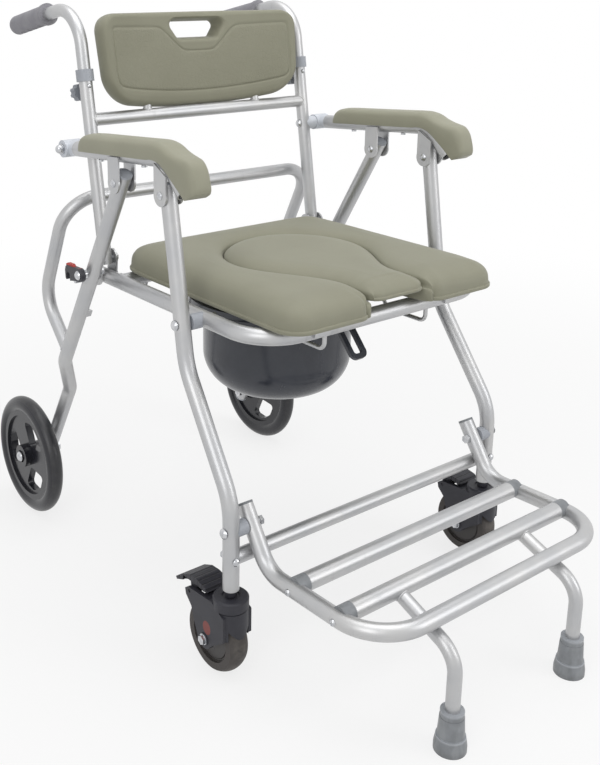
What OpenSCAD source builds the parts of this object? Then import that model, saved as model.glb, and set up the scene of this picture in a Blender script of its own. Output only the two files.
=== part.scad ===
// Folding shower commode chair with wheels, flip-up footrest and slide-out pan.
// Millimetres, Z up, floor at Z = 0, sitter faces -Y, sitter's right hand is -X.

/* [Overall] */
// half spacing of the legs and arms
leg_x = 241; // [220:1:270]
// half spacing of the front legs below their knee
foot_leg_x = 247; // [236:1:256]
// half spacing of the seat rails and back posts
rail_x = 205; // [185:1:215]
// half spacing of the rear legs below their inward jog
rear_low_x = 213; // [195:1:216]
// height of the seat rail axis
seat_z = 455; // [420:1:520]

/* [Tubes] */
// leg and arm tube outside diameter
leg_od = 22; // [19:0.5:25.4]
// seat rail outside diameter
rail_od = 22; // [19:0.5:25.4]
// back post outside diameter
post_od = 20; // [18:0.5:22]
// cross bar and push handle outside diameter
bar_od = 19; // [16:0.5:21]
// rear hoop outside diameter
hoop_od = 20; // [16:0.5:21.5]
// footrest frame outside diameter
foot_od = 22; // [19:0.5:25.4]
// footrest slat outside diameter
slat_od = 24; // [20:0.5:28]
// footrest prop leg outside diameter
prop_od = 18; // [16:0.5:20]
// tube wall
wall = 1.6; // [1.2:0.1:2.2]
// pan rail wire diameter
wire_od = 6; // [5:0.5:8]

/* [Pivots] */
// front arm pin, along Y
front_pin_y = -49; // [-70:1:-30]
// front arm pin height
front_pin_z = 620; // [590:1:650]
// seat pivot on the front legs, along Y
seat_pivot_y = -76; // [-90:1:-60]
// arm hinge on the back post, along Y
arm_hinge_y = 203; // [180:1:220]
// arm hinge height
arm_hinge_z = 647; // [620:1:670]
// rear arm pin, along Y
rear_pin_y = 64; // [50:1:80]
// rear arm pin height
rear_pin_z = 618; // [590:1:640]

/* [Front legs] */
// leg length from the seat pivot down to the knee bend
knee_drop = 57; // [40:1:80]
// lower leg position, along Y
foot_y = -189; // [-210:1:-170]
// ankle bend height
ankle_z = 251; // [235:1:270]
// lower end of the leg tube
leg_end_z = 130; // [125:1:140]
// leg bend radius
leg_bend = 90; // [60:1:110]
// tube left above each arm pin
leg_top = 13; // [12:0.5:14]
// cross bar height
cross_z = 173; // [160:1:175]
// footrest pivot height
foot_pivot_z = 212; // [206:1:222]

/* [Rear legs] */
// rear axle, along Y
axle_y = 371; // [350:1:390]
// rear wheel diameter
rear_wheel_d = 200; // [180:1:220]
// rear wheel plane
rear_wheel_x = 250; // [244:1:270]
// rear tyre width
tyre_w = 27; // [24:0.5:28]
// height where the inward jog starts
jog_top_z = 305; // [290:1:315]
// height where the inward jog ends
jog_low_z = 240; // [225:1:255]
// hoop bend behind the legs, along Y
hoop_back_y = 306; // [290:1:320]
// hoop bend height
hoop_back_z = 398; // [380:1:420]
// hoop cross bar, along Y
hoop_bar_y = 226; // [218:1:240]
// hoop cross bar height
hoop_bar_z = 566; // [550:1:580]
// hoop bend radius
hoop_bend = 55; // [40:1:60]

/* [Seat] */
// front rail, along Y
rail_front = -196; // [-215:1:-180]
// rear end of the side rails
rail_back = 188; // [184:1:200]
// rear cross tube, along Y
rear_cross_y = 138; // [125:1:150]
// rail bend radius
rail_bend = 62; // [45:1:70]
// seat pad half width
pad_half = 191; // [175:1:192]
// seat pad front
pad_front = -236; // [-242:1:-222]
// seat pad rear
pad_back = 164; // [150:1:166]
// seat pad height
pad_h = 40; // [32:1:48]
// half width of the opening over the pan
hole_half = 104; // [90:1:108]
// half length of the opening over the pan
hole_len = 95; // [85:1:100]
// centre of the opening, along Y
hole_y = -8; // [-15:1:10]
// half width of the front slot
slot_half = 46; // [40:1:50]

/* [Pan] */
// pan centre, along Y
pan_y = 21; // [10:1:30]
// pan rim radius
pan_rim_r = 136; // [131:1:140]
// pan bottom height
pan_low_z = 284; // [265:1:300]
// bottom edge round
pan_round = 58; // [40:1:70]
// wire rail height
wire_z = 421; // [416:1:424]
// half spacing of the wires in front
wire_front_x = 95; // [85:1:110]

/* [Back] */
// back cross bar height
back_bar_z = 684; // [675:1:700]
// post top height
post_top_z = 748; // [735:1:760]
// backrest height
back_h = 145; // [130:1:155]
// backrest thickness
back_t = 32; // [26:1:36]
// how far the backrest curves round the sitter
back_sag = 28; // [0:1:34]
// push handle corner above the post top
handle_rise = 101; // [88:1:122]
// push handle bend radius
handle_bend = 60; // [45:1:64]
// push handle reach behind its corner
handle_reach = 197; // [175:1:225]
// grip diameter
grip_d = 30; // [27:0.5:34]
// grip length
grip_len = 106; // [90:1:120]

/* [Arms] */
// rise of the arm tube towards the front, degrees
arm_rise = 4; // [2:0.5:6]
// arm tube corner, along Y
arm_corner_y = -46; // [-60:1:-35]
// arm tube end, along Y
arm_end_y = -86; // [-90:1:-80]
// arm tube end height
arm_end_z = 626; // [622:1:632]
// arm pad half width
arm_pad_half = 21; // [18:0.5:22]

/* [Footrest] */
// footrest tilt of the upper arms, degrees
foot_tilt = 34; // [33:0.5:38]
// length of the upper arm below its pivot
foot_drop = 65; // [60:1:70]
// front tube, along Y
foot_front = -421; // [-428:1:-410]
// first slat, along Y
slat_one_y = -274; // [-284:1:-268]
// second slat, along Y
slat_two_y = -354; // [-362:1:-345]
// half spacing of the prop legs
prop_x = 117; // [95:1:140]
// prop leg position, along Y
prop_y = -449; // [-460:1:-441]
// rubber tip diameter at the floor
tip_d = 40; // [34:1:46]
// rubber tip height
tip_h = 54; // [40:1:60]

/* [Casters] */
// front caster wheel diameter
caster_d = 100; // [92:1:104]
// caster wheel width
caster_w = 29; // [24:0.5:30]
// caster trail behind its stem
trail = 27; // [22:0.5:32]
// caster housing diameter
housing_d = 46; // [44:0.5:50]
// caster housing top
housing_top = 121; // [118:0.5:124]

/* [Hidden] */
$fn = 64;

// shared clearances and small sizes
overrun = 2;
weld_gap = 0.05;
run_fit = 0.05;
slip = 0.3;
bend_lap = 1.2;
bend_step = 0.05;
bolt_d = 8;
dome_d = 14;
dome_h = 5;
nut_d = 13;
nut_h = 5;
plate_t = 3;

// pivot points in the side plane, as [y, z]
front_pin = [front_pin_y, front_pin_z];
seat_pivot = [seat_pivot_y, seat_z];
arm_hinge = [arm_hinge_y, arm_hinge_z];
back_pivot = arm_hinge - (front_pin - seat_pivot);
rear_pin = [rear_pin_y, rear_pin_z];
axle_z = rear_wheel_d / 2;

function unit(v) = v / norm(v);
function side_point(p, x) = [x, p.x, p.y];
function turn_angle(a, b) = acos(max(-1, min(1, a * b)));

// side clearances: footrest inside the legs, backrest inside the posts, pan rim over its wires
foot_gap = 11;
back_gap = 9;
rim_w = 24;
rim_hold = 10;
foot_x = foot_leg_x - leg_od / 2 - foot_gap - foot_od / 2;
back_half = rail_x - post_od / 2 - back_gap;
pan_r = pan_rim_r - rim_w;
wire_side_x = pan_rim_r - rim_hold;
handle_z = post_top_z + handle_rise;

// direction up the front legs and back posts
lean = unit(concat([0], front_pin - seat_pivot));
lean_deg = atan2(lean.y, lean.z);
function post_point(z, x) = [x, back_pivot.x + (z - back_pivot.y) * lean.y / lean.z, z];

// rear leg line in the side plane
rear_slope = (axle_y - rear_pin_y) / (rear_pin_z - axle_z);
rear_lean = atan(rear_slope);
function rear_y(z) = rear_pin_y + (rear_pin_z - z) * rear_slope;

// stop pin: just behind the rear leg at rail height
stop_d = 8;
stop_y = rear_y(seat_z) + (leg_od / 2 + stop_d / 2 + slip) / cos(rear_lean);

// front end and rear end set the frame origin midway
front_end = prop_y - tip_d / 2;
rear_end = axle_y + rear_wheel_d / 2;
frame_shift = -(front_end + rear_end) / 2;

// children drawn along Z, set along a direction
module along(a, v) {
  translate(a)
    rotate([0, acos(v.z / norm(v)), atan2(v.y, v.x)])
      children();
}

module rod(a, b, d) {
  along(a, b - a)
    cylinder(h = norm(b - a), d = d);
}

// polygon with round corners, drawn outside the given points
round_lap = 0.05;

module round_polygon(points, r) {
  n = len(points);
  polygon(points);
  for (i = [0 : n - 1]) {
    a = points[i];
    b = points[(i + 1) % n];
    out = unit([(b - a).y, (a - b).x]) * r;
    translate(a)
      circle(r = r + round_lap);
    polygon([a, a + out, b + out, b]);
  }
}

// one bend: its ends lap into the straight pieces on both sides
module elbow(corner, u, v, r, d) {
  phi = turn_angle(u, v);
  inward = unit(v - u * (u * v));
  c = corner - u * (r * tan(phi / 2)) + inward * r;
  x = -inward;
  z = cross(x, u);
  multmatrix([[x.x, u.x, z.x, c.x], [x.y, u.y, z.y, c.y], [x.z, u.z, z.z, c.z], [0, 0, 0, 1]])
    rotate([0, 0, -bend_lap])
      rotate_extrude(angle = phi + 2 * bend_lap)
        translate([r, 0])
          circle(d = d - 2 * bend_step);
}

// rod bent along corner points; reach lengthens both ends
module bent_rod(path, r, d, reach = 0) {
  n = len(path);
  radii = is_list(r) ? r : [for (i = [0 : n - 1]) r];
  u = [for (i = [0 : n - 2]) unit(path[i + 1] - path[i])];
  t = [for (i = [0 : n - 1]) i == 0 || i == n - 1 ? -reach : radii[i] * tan(turn_angle(u[i - 1], u[i]) / 2)];
  for (i = [0 : n - 2])
    rod(path[i] + u[i] * t[i], path[i + 1] - u[i] * t[i + 1], d);
  for (i = [1 : n - 2])
    elbow(path[i], u[i - 1], u[i], radii[i], d);
}

// a cylinder along X through a side-plane point
module cross_rod(p, x_from, x_to, d) {
  translate([x_from, p.x, p.y])
    rotate([0, 90, 0])
      cylinder(h = x_to - x_from, d = d);
}

// round head along X, its flat on the plane x, facing +X, with a short straight edge
edge_share = 0.2;

module dome(p, x, d, h) {
  crown = h * (1 - edge_share);
  r = (d * d / 4 + crown * crown) / (2 * crown);
  translate([x, p.x, p.y])
    rotate([0, 90, 0])
      rotate_extrude()
        intersection() {
          translate([0, h - r])
            circle(r = r);
          square([d / 2, h + overrun]);
        }
}

module hex_nut(p, x, d, h) {
  translate([x, p.x, p.y])
    rotate([0, 90, 0])
      cylinder(h = h, d = d, $fn = 6);
}

module both_sides() {
  children();
  mirror([1, 0, 0])
    children();
}

// pieces are drawn on the +X side and mirrored for the sitter's right
module on_side(side) {
  if (side < 0)
    mirror([1, 0, 0])
      children();
  else
    children();
}

// skin over rings of equal length; open skins are closed with a fan about a centre point
module skin(rings, closed = false, centres = []) {
  n = len(rings);
  m = len(rings[0]);
  points = concat([for (r = rings) each r], closed ? [] : centres);
  last = closed ? n - 1 : n - 2;
  walls = [
    for (i = [0 : last], j = [0 : m - 1])
      let (a = i * m + j, b = i * m + (j + 1) % m, c = ((i + 1) % n) * m + j, e = ((i + 1) % n) * m + (j + 1) % m)
        each [[a, b, e], [a, e, c]]
  ];
  caps = closed ? [] : [
    for (j = [0 : m - 1])
      each [[j, n * m, (j + 1) % m], [(n - 1) * m + (j + 1) % m, n * m + 1, (n - 1) * m + j]]
  ];
  polyhedron(points = points, faces = concat(walls, caps));
}

function mean(list) = list * [for (i = list) 1] / len(list);
function ring_mean(ring) = [mean([for (p = ring) p.x]), mean([for (p = ring) p.y]), mean([for (p = ring) p.z])];
function mix(a, b, t) = a + (b - a) * t;
function smooth(t) = let (c = max(0, min(1, t))) c * c * (3 - 2 * c);

metal = "silver";
olive = "darkkhaki";
grey = "slategray";
black = "dimgray";

// seat frame

rail_path = [
  [-rail_x, rail_back, seat_z], [-rail_x, rail_front, seat_z],
  [rail_x, rail_front, seat_z], [rail_x, rail_back, seat_z]
];
rear_bar_od = 20;

module seat_frame() {
  color(metal)
    difference() {
      union() {
        bent_rod(rail_path, rail_bend, rail_od);
        cross_rod([rear_cross_y, seat_z], -rail_x, rail_x, rear_bar_od);
      }
      bent_rod(rail_path, rail_bend, rail_od - 2 * wall, overrun);
      cross_rod([rear_cross_y, seat_z], -rail_x, rail_x, rear_bar_od - 2 * wall);
      both_sides() {
        cross_rod(seat_pivot, rail_x - rail_od, rail_x + rail_od, bolt_d + 2 * run_fit);
        cross_rod([stop_y, seat_z], rail_x - rail_od, rail_x + rail_od, stop_d + 2 * run_fit);
      }
    }
}

wire_inset = 9;
wire_front_y = rail_front + wire_inset;
wire_jog_y = pan_y - pan_rim_r;
wire_jog_len = 40;
wire_tail_x = pan_rim_r + rim_w;
wire_tail_y = rear_cross_y - rim_w;
wire_bend = 10;
wire_path = [
  [wire_front_x, wire_front_y, seat_z], [wire_front_x, wire_front_y, wire_z],
  [wire_front_x, wire_jog_y, wire_z], [wire_side_x, wire_jog_y + wire_jog_len, wire_z],
  [wire_side_x, wire_tail_y, wire_z], [wire_tail_x, rear_cross_y, wire_z],
  [wire_tail_x, rear_cross_y, seat_z]
];
flare_d = 11;
flare_h = 5;

module pan_rails() {
  color(metal)
    difference() {
      both_sides() {
        bent_rod(wire_path, wire_bend, wire_od);
        translate([wire_front_x, wire_front_y, seat_z - rail_od / 2 - flare_h])
          cylinder(h = flare_h * 2, d1 = wire_od, d2 = flare_d);
        translate([wire_tail_x, rear_cross_y, seat_z - rear_bar_od / 2 - flare_h])
          cylinder(h = flare_h * 2, d1 = wire_od, d2 = flare_d);
      }
      cross_rod([rail_front, seat_z], -rail_x, rail_x, rail_od + 2 * weld_gap);
      cross_rod([rear_cross_y, seat_z], -rail_x, rail_x, rear_bar_od + 2 * weld_gap);
    }
}

// end plug for a tube: a cap on the end at p, its spigot running back along -u
plug_cap_h = 3;
plug_len = 12;

module end_plug(p, u, d) {
  rod(p + u * weld_gap, p + u * plug_cap_h, d);
  rod(p - u * plug_len, p + u * (plug_cap_h / 2), d - 2 * wall - 2 * run_fit);
}

module rail_plugs() {
  color(grey)
    both_sides()
      difference() {
        end_plug([rail_x, rail_back, seat_z], [0, 1, 0], rail_od);
        cross_rod([stop_y, seat_z], rail_x - rail_od, rail_x + rail_od, stop_d + 2 * run_fit);
      }
}

// lateral bolt: dome outside, nut inside, shank between
module side_bolt(p, x_in, x_out, d) {
  cross_rod(p, x_in, x_out, d);
  dome(p, x_out - weld_gap, dome_d, dome_h);
  hex_nut(p, x_in - nut_h, nut_d, nut_h + weld_gap);
}

leg_outer = leg_x + leg_od / 2 + slip;
rail_inner = rail_x - rail_od / 2 - slip;

module seat_bolts() {
  color(metal)
    both_sides()
      side_bolt(seat_pivot, rail_inner, leg_outer, bolt_d);
}

spacer_d = 21;
leg_inner = leg_x - leg_od / 2 - slip;

module seat_spacers() {
  color(grey)
    both_sides()
      difference() {
        cross_rod(seat_pivot, rail_x, leg_inner, spacer_d);
        cross_rod(seat_pivot, rail_x - overrun, leg_x, bolt_d + 2 * run_fit);
        rod([rail_x, rail_front, seat_z], [rail_x, rail_back, seat_z], rail_od + 2 * weld_gap);
      }
}

ear_r = 13;
ear_in = rail_od / 2 + 0.1;
ear_neck = 0.94;

module back_ear() {
  rotate([90, 0, 90])
    linear_extrude(height = plate_t)
      difference() {
        union() {
          translate(back_pivot)
            circle(r = ear_r);
          translate([stop_y, seat_z])
            circle(r = ear_r);
          polygon([
            [back_pivot.x - ear_r * ear_neck, back_pivot.y], [stop_y - ear_r * ear_neck, seat_z],
            [stop_y + ear_r * ear_neck, seat_z], [back_pivot.x + ear_r * ear_neck, back_pivot.y]
          ]);
        }
        translate(back_pivot)
          circle(d = bolt_d + 2 * run_fit);
        translate([stop_y, seat_z])
          circle(d = stop_d + 2 * run_fit);
      }
}

module back_brackets() {
  color(metal)
    both_sides() {
      translate([rail_x + ear_in, 0, 0])
        back_ear();
      translate([rail_x - ear_in - plate_t, 0, 0])
        back_ear();
    }
}

ear_out = ear_in + plate_t + 0.1;
washer_d = 15;

module back_bolts() {
  color(metal)
    both_sides() {
      cross_rod(back_pivot, rail_x - ear_out, rail_x + ear_out, bolt_d);
      dome(back_pivot, rail_x + ear_out - weld_gap, dome_d, dome_h);
      hex_nut(back_pivot, rail_x - ear_out - nut_h, nut_d, nut_h + weld_gap);
      difference() {
        cross_rod(back_pivot, rail_x + post_od / 2 + slip, rail_x + ear_in - weld_gap, washer_d);
        cross_rod(back_pivot, rail_x, rail_x + leg_od, bolt_d - run_fit);
      }
    }
}

stop_out = leg_x + leg_od / 2 + 4;

module stop_pins() {
  color(metal)
    both_sides() {
      cross_rod([stop_y, seat_z], rail_x - ear_out, stop_out, stop_d);
      dome([stop_y, seat_z], stop_out - weld_gap, stop_d, stop_d / 4);
      hex_nut([stop_y, seat_z], rail_x - ear_out - nut_h, nut_d, nut_h + weld_gap);
    }
}

// seat pad

pad_low = seat_z + rail_od / 2 + 2;
clip_x = 120;
clip_w = 26;
clip_t = 4;
stud_d = 14;
stud_h = 9;

module pad_clip(y, d) {
  difference() {
    union() {
      cross_rod([y, seat_z], clip_x - clip_w / 2, clip_x + clip_w / 2, d + 2 * clip_t);
      translate([clip_x - clip_w / 2, y - clip_w / 2, seat_z])
        cube([clip_w, clip_w, pad_low - weld_gap - seat_z]);
      translate([clip_x, y, seat_z])
        cylinder(h = pad_low + stud_h - seat_z, d = stud_d);
    }
    cross_rod([y, seat_z], clip_x - clip_w, clip_x + clip_w, d + 2 * weld_gap);
    translate([clip_x - clip_w, y - clip_w, seat_z - clip_w - clip_t])
      cube([2 * clip_w, 2 * clip_w, clip_w]);
  }
}

module pad_clips() {
  color(black)
    both_sides() {
      pad_clip(rail_front, rail_od);
      pad_clip(rear_cross_y, rear_bar_od);
    }
}

// cross-section of the pad from its inner edge to its outer edge: [inset, height share, 1 = outer edge]
ledge = 7;
pad_section = [
  [-ledge, 0.02, 0], [6, 0, 0.5], [6, 0, 1], [0, 0.1, 1], [0.6, 0.2, 1], [2.4, 0.25, 1], [1.6, 0.33, 1],
  [3.2, 0.6, 1], [9, 0.84, 1], [22, 0.96, 1], [0, 1, 0.55], [30, 0.985, 0], [16, 0.955, 0], [6, 0.89, 0],
  [1.6, 0.79, 0], [0.3, 0.66, 0], [0.1, 0.432, 0], [-ledge, 0.42, 0]
];
corner_r = 46;
horn_round = 34;
slot_flare = 9;
flare_len = 80;
inset_share = 0.46;
far = 100000;
tiny = 0.0001;
corner_power = 7;

// half width of the slot: it flares towards the front
function slot_at(y) =
  slot_half + slot_flare * smooth((pad_front + flare_len - y) / flare_len);
// half width of an oval at a distance from its centre
function oval(half, long, dy) = abs(dy) >= long ? 0 : half * sqrt(1 - dy * dy / (long * long));
// outer half width: rounded rear and front corners
function side_at(y) =
  let (f = y - pad_front, over = max(0, corner_r - f))
    pad_half - (corner_r - sqrt(max(0, corner_r * corner_r - over * over)));
// outer edge along a ray from the opening centre
function outer_at(a) =
  let (
    dx = abs(cos(a)), dy = sin(a),
    to_side = dx > 0 ? pad_half / max(dx, tiny) : far,
    to_back = (pad_back - hole_y) / max(dy, tiny)
  )
    pow(pow(1 / to_side, corner_power) + pow(1 / to_back, corner_power), -1 / corner_power);
function pad_point(inner, outer, s, drop) =
  let (
    w = norm(outer - inner), u = (outer - inner) / w, inset = min(s.x, w * inset_share),
    base = s.z == 1 ? outer - u * inset : s.z == 0 ? inner + u * inset : mix(inner, outer, s.z)
  )
    [base.x, base.y, pad_low + pad_h * s.y * (1 - drop)];
function pad_ring(inner, outer, drop) = [for (s = pad_section) pad_point(inner, outer, s, drop)];

slot_steps = [0, 0.03, 0.1, 0.2, 0.34, 0.52, 0.72, 0.9, 1];
neck_count = 9;
rear_count = 14;
quarter = 90;
// the slot meets the oval opening at this angle
neck_angle = acos(slot_half / hole_half);
neck_y = hole_y - hole_len * sin(neck_angle);
horn_rows = concat(
  [for (t = slot_steps) mix(pad_front, neck_y, t)],
  [for (k = [1 : neck_count - 1]) hole_y - hole_len * sin(neck_angle * (1 - k / neck_count))]
);
nose_share = 0.8;
nose_drop = 0.34;
function nose_at(f) = f >= horn_round ? 1 : sqrt(1 - pow(1 - f / horn_round, 2));
// horn rows run across; the front rows shrink into a rounded nose
function horn_ring(y) =
  let (
    nose = nose_at(y - pad_front),
    inner = max(slot_at(y), oval(hole_half, hole_len, y - hole_y)),
    outer = side_at(y + corner_r * (1 - nose_share)),
    m = (inner + outer) / 2, h = (outer - inner) / 2 * mix(nose_share, 1, nose)
  )
    pad_ring([m - h, y], [m + h, y], nose_drop * (1 - nose));
function rear_ring(k) =
  let (a = quarter * k / rear_count, l = outer_at(a))
    pad_ring([hole_half * cos(a), hole_y + hole_len * sin(a)], [l * cos(a), hole_y + l * sin(a)], 0);
function flip_x(ring) = [for (p = ring) [-p.x, p.y, p.z]];

pad_left = concat([for (y = horn_rows) horn_ring(y)], [for (k = [0 : rear_count]) rear_ring(k)]);
pad_rings = concat(pad_left, [for (i = [len(pad_left) - 2 : -1 : 0]) flip_x(pad_left[i])]);

module seat_pad() {
  color(olive)
    skin(pad_rings, false, [ring_mean(pad_rings[0]), ring_mean(pad_rings[len(pad_rings) - 1])]);
}

// keyhole insert lying on the ledge of the opening
insert_gap = 1.4;
insert_share = 0.44;
insert_low = pad_low + pad_h * insert_share;
insert_h = 22;
insert_back = 11;
insert_front = pad_front + insert_back;
insert_side = [[8, 0], [1, 0.04], [0, 0.2], [0, 0.6], [1.4, 0.7], [6, 0.83], [14, 0.925], [28, 0.985]];
insert_section = concat(
  [for (s = insert_side) [s.x, s.y, 1]],
  [for (k = [len(insert_side) - 1 : -1 : 0]) [insert_side[k].x, insert_side[k].y, -1]]
);
tongue_steps = [0, 0.015, 0.06, 0.14, 0.26, 0.44, 0.66, 0.86, 1];
dish_end = 86;
dish_half = hole_half - insert_gap;
dish_len = hole_len - insert_gap;
tongue_half = slot_half - insert_gap;
tongue_share = 0.82;
tongue_drop = 0.3;
least_share = 0.3;
dish_angle = acos(tongue_half / dish_half);
dish_y = hole_y - dish_len * sin(dish_angle);
insert_rows = concat(
  [for (t = tongue_steps) mix(insert_front, dish_y, t)],
  [for (k = [1 : neck_count]) hole_y - dish_len * sin(dish_angle * (1 - k / neck_count))],
  [for (k = [1 : rear_count]) hole_y + dish_len * sin(dish_end * k / rear_count)]
);
function insert_half(y) =
  let (tongue = y > dish_y ? 0 : tongue_half * mix(tongue_share, 1, nose_at(y - insert_front)))
    max(oval(dish_half, dish_len, y - hole_y), tongue);
function insert_ring(y) =
  let (w = insert_half(y), drop = tongue_drop * pow(1 - nose_at(y - insert_front), 2))
    [for (s = insert_section) [s.z * max(w - s.x, w * least_share), y, insert_low + insert_h * s.y * (1 - drop)]];
insert_rings = [for (y = insert_rows) insert_ring(y)];

module seat_insert() {
  color(olive)
    skin(insert_rings, false, [ring_mean(insert_rings[0]), ring_mean(insert_rings[len(insert_rings) - 1])]);
}

// pan

pan_wall = 3;
rim_low = wire_z + wire_od / 2 + slip;
rim_t = 4;
rim_lip = 9;

module pan_profile(r, low, top, round) {
  translate([0, low])
    square([r - round, top - low]);
  translate([0, low + round])
    square([r, top - low - round]);
  intersection() {
    translate([r - round, low + round])
      circle(r = round + round_lap);
    translate([0, low - overrun])
      square([r + overrun, top - low]);
  }
}

lug_t = 4;
loop_w = 30;
pin_x = loop_w / 2 + 2 * slip;
lug_half = 5;
lug_len = 16;
lug_reach = 6;
lug_lap = 2;
handle_axis = [pan_y - pan_rim_r - lug_reach, rim_low - lug_half];
handle_pin_d = 5;

module commode_pan() {
  color(black) {
    difference() {
      union() {
        translate([0, pan_y, 0])
          rotate_extrude()
            difference() {
              union() {
                pan_profile(pan_r, pan_low_z, rim_low + rim_t, pan_round);
                translate([0, rim_low])
                  square([pan_rim_r, rim_t]);
                translate([pan_rim_r - rim_t, rim_low])
                  square([rim_t, rim_lip]);
              }
              pan_profile(pan_r - pan_wall, pan_low_z + pan_wall, rim_low + rim_t + overrun + pan_round, pan_round);
            }
        for (x = [-pin_x - lug_t, pin_x])
          translate([x, handle_axis.x - lug_half, handle_axis.y - lug_half])
            cube([lug_t, lug_len, rim_low + lug_lap - handle_axis.y + lug_half]);
      }
      cross_rod(handle_axis, -pin_x - 2 * lug_t, pin_x + 2 * lug_t, handle_pin_d + 2 * run_fit);
    }
  }
}

// strap loop hanging forward and down from the rim
loop_len = 56;
strap = 8;
strap_t = 5;
loop_tilt = 48;
loop_round = 11;

module loop_outline(w, l, r) {
  translate([-w / 2, 0])
    square([w, l - r]);
  translate([-w / 2 + r, 0])
    square([w - 2 * r, l]);
  for (s = [-1, 1])
    translate([s * (w / 2 - r), l - r])
      circle(r = r + round_lap);
}

module pan_handle() {
  color(black) {
    translate([0, handle_axis.x, handle_axis.y])
      rotate([loop_tilt, 0, 0])
        translate([0, 0, -strap_t / 2])
          rotate([0, 0, 180])
            linear_extrude(height = strap_t)
              difference() {
                loop_outline(loop_w, loop_len, loop_round);
                translate([0, strap])
                  loop_outline(loop_w - 2 * strap, loop_len - 2 * strap, loop_round / 3);
              }
    cross_rod(handle_axis, -pin_x + slip, pin_x - slip, strap + 2);
    cross_rod(handle_axis, -pin_x - lug_t, pin_x + lug_t, handle_pin_d);
  }
}

// back

foot_len = 9;
post_low = side_point(back_pivot, rail_x) - lean * foot_len;
post_high = post_point(post_top_z, rail_x);
spigot_d = post_od - 2 * wall - 0.2;
button_z = post_top_z - 16;
knob_z = post_top_z - 23;
button_d = 7;
forward = [0, -lean.z, lean.y];
bar_point = post_point(back_bar_z, 0);

module back_frame() {
  color(metal)
    difference() {
      union() {
        both_sides()
          rod(post_low, post_high, post_od);
        cross_rod([bar_point.y, bar_point.z], -rail_x, rail_x, bar_od);
      }
      cross_rod([bar_point.y, bar_point.z], -rail_x, rail_x, bar_od - 2 * wall);
      both_sides() {
        rod(post_low - lean * overrun, post_high + lean * overrun, post_od - 2 * wall);
        cross_rod(back_pivot, rail_x - post_od, rail_x + post_od, bolt_d + 2 * run_fit);
        cross_rod(arm_hinge, rail_x - post_od, rail_x + post_od, bolt_d + 2 * run_fit);
        rod(post_point(button_z, rail_x), post_point(button_z, rail_x) + forward * post_od, button_d + 0.2);
        rod(post_point(knob_z, rail_x), post_point(knob_z, rail_x) - forward * post_od, bolt_d + 0.2);
      }
    }
}

stub_x = 104;
stub_d = 13;
stub_len = 24;

module backrest_stubs() {
  color(metal)
    both_sides()
      difference() {
        rod([stub_x, bar_point.y, bar_point.z], [stub_x, bar_point.y, bar_point.z] + lean * stub_len, stub_d);
        cross_rod([bar_point.y, bar_point.z], 0, rail_x, bar_od + 2 * weld_gap);
      }
}

// backrest: rings run round the hand hole, each ring a slice from the hole to the edge
hole_top_half = 51;
hole_low_half = 35.5;
hole_hi = 127.5;
hole_lo = 106.5;
hole_round = 7;
back_base = 8.5;
back_set = 12;
back_taper = 6;
back_top_r = 30;
back_low_r = 48;
back_bow = 14;
back_crown = 4;
bow_power = 2.2;
back_section = [
  [7, -0.5, 1], [1.5, -0.36, 1], [0, -0.1, 1], [1.5, 0.2, 1], [6, 0.4, 1], [15, 0.48, 1], [0, 0.5, 0.5],
  [9, 0.5, 0], [5, 0.44, 0], [3, 0.26, 0], [0, -0.3, 0], [2, -0.46, 0], [6, -0.5, 0], [0, -0.5, 0.5]
];
side_share = 0.42;
edge_steps = 7;
arc_steps = 5;

// outlines are lists of [point, outward direction], from the bottom middle round to the top middle
function arc(c, r, from, to) =
  [for (k = [0 : arc_steps]) let (a = mix(from, to, k / arc_steps), n = [cos(a), sin(a)]) [c + n * r, n]];
function flat(to_x, y, n) = [for (k = [0 : edge_steps - 1]) [[to_x * k / edge_steps, y], [0, n]]];
function half_outline(top_half, low_half, lo, hi, top_r, low_r) =
  let (
    tip = -atan2(top_half - low_half, hi - lo), n = [cos(tip), sin(tip)], c = n * [top_half, hi],
    up = [(c - top_r - n.y * (hi - top_r)) / n.x, hi - top_r],
    down = [(c - low_r - n.y * (lo + low_r)) / n.x, lo + low_r],
    top = flat(up.x, hi, 1)
  )
    concat(
      flat(down.x, lo, -1), arc(down, low_r, -quarter, tip), arc(up, top_r, tip, quarter),
      [for (k = [edge_steps - 1 : -1 : 0]) top[k]]
    );
function flip_u(q) = [[-q[0].x, q[0].y], [-q[1].x, q[1].y]];
function full_outline(half) = concat(half, [for (k = [len(half) - 2 : -1 : 1]) flip_u(half[k])]);
back_outer = full_outline(half_outline(back_half, back_half - back_taper, 0, back_h, back_top_r, back_low_r));
back_inner = full_outline(half_outline(hole_top_half, hole_low_half, hole_lo, hole_hi, hole_round, hole_round));

// the lower edge bows up and the upper edge down towards the sides
function back_rise(u, v) =
  let (t = abs(u) / back_half)
    v + back_bow * pow(t, bow_power) * (1 - v / back_h) - back_crown * t * t * v / back_h;
function back_place(u, v, w) =
  [u, bar_point.y, bar_point.z] + lean * (back_base + back_rise(u, v))
    + forward * (w * back_t - back_set + back_sag * pow(u / back_half, 2));
function back_ring(i, o) =
  let (l = norm(o[0] - i[0]))
    [
      for (s = back_section)
        let (
          inset = min(s.x, l * side_share),
          q = s.z == 1 ? o[0] - o[1] * inset : s.z == 0 ? i[0] + i[1] * inset : mix(i[0], o[0], s.z)
        )
          back_place(q.x, q.y, s.y)
    ];

module backrest_pad() {
  color(olive)
    skin([for (k = [0 : len(back_outer) - 1]) back_ring(back_inner[k], back_outer[k])], true);
}

collar_d = 26;
collar_low = 9;
collar_high = 8;

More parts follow.
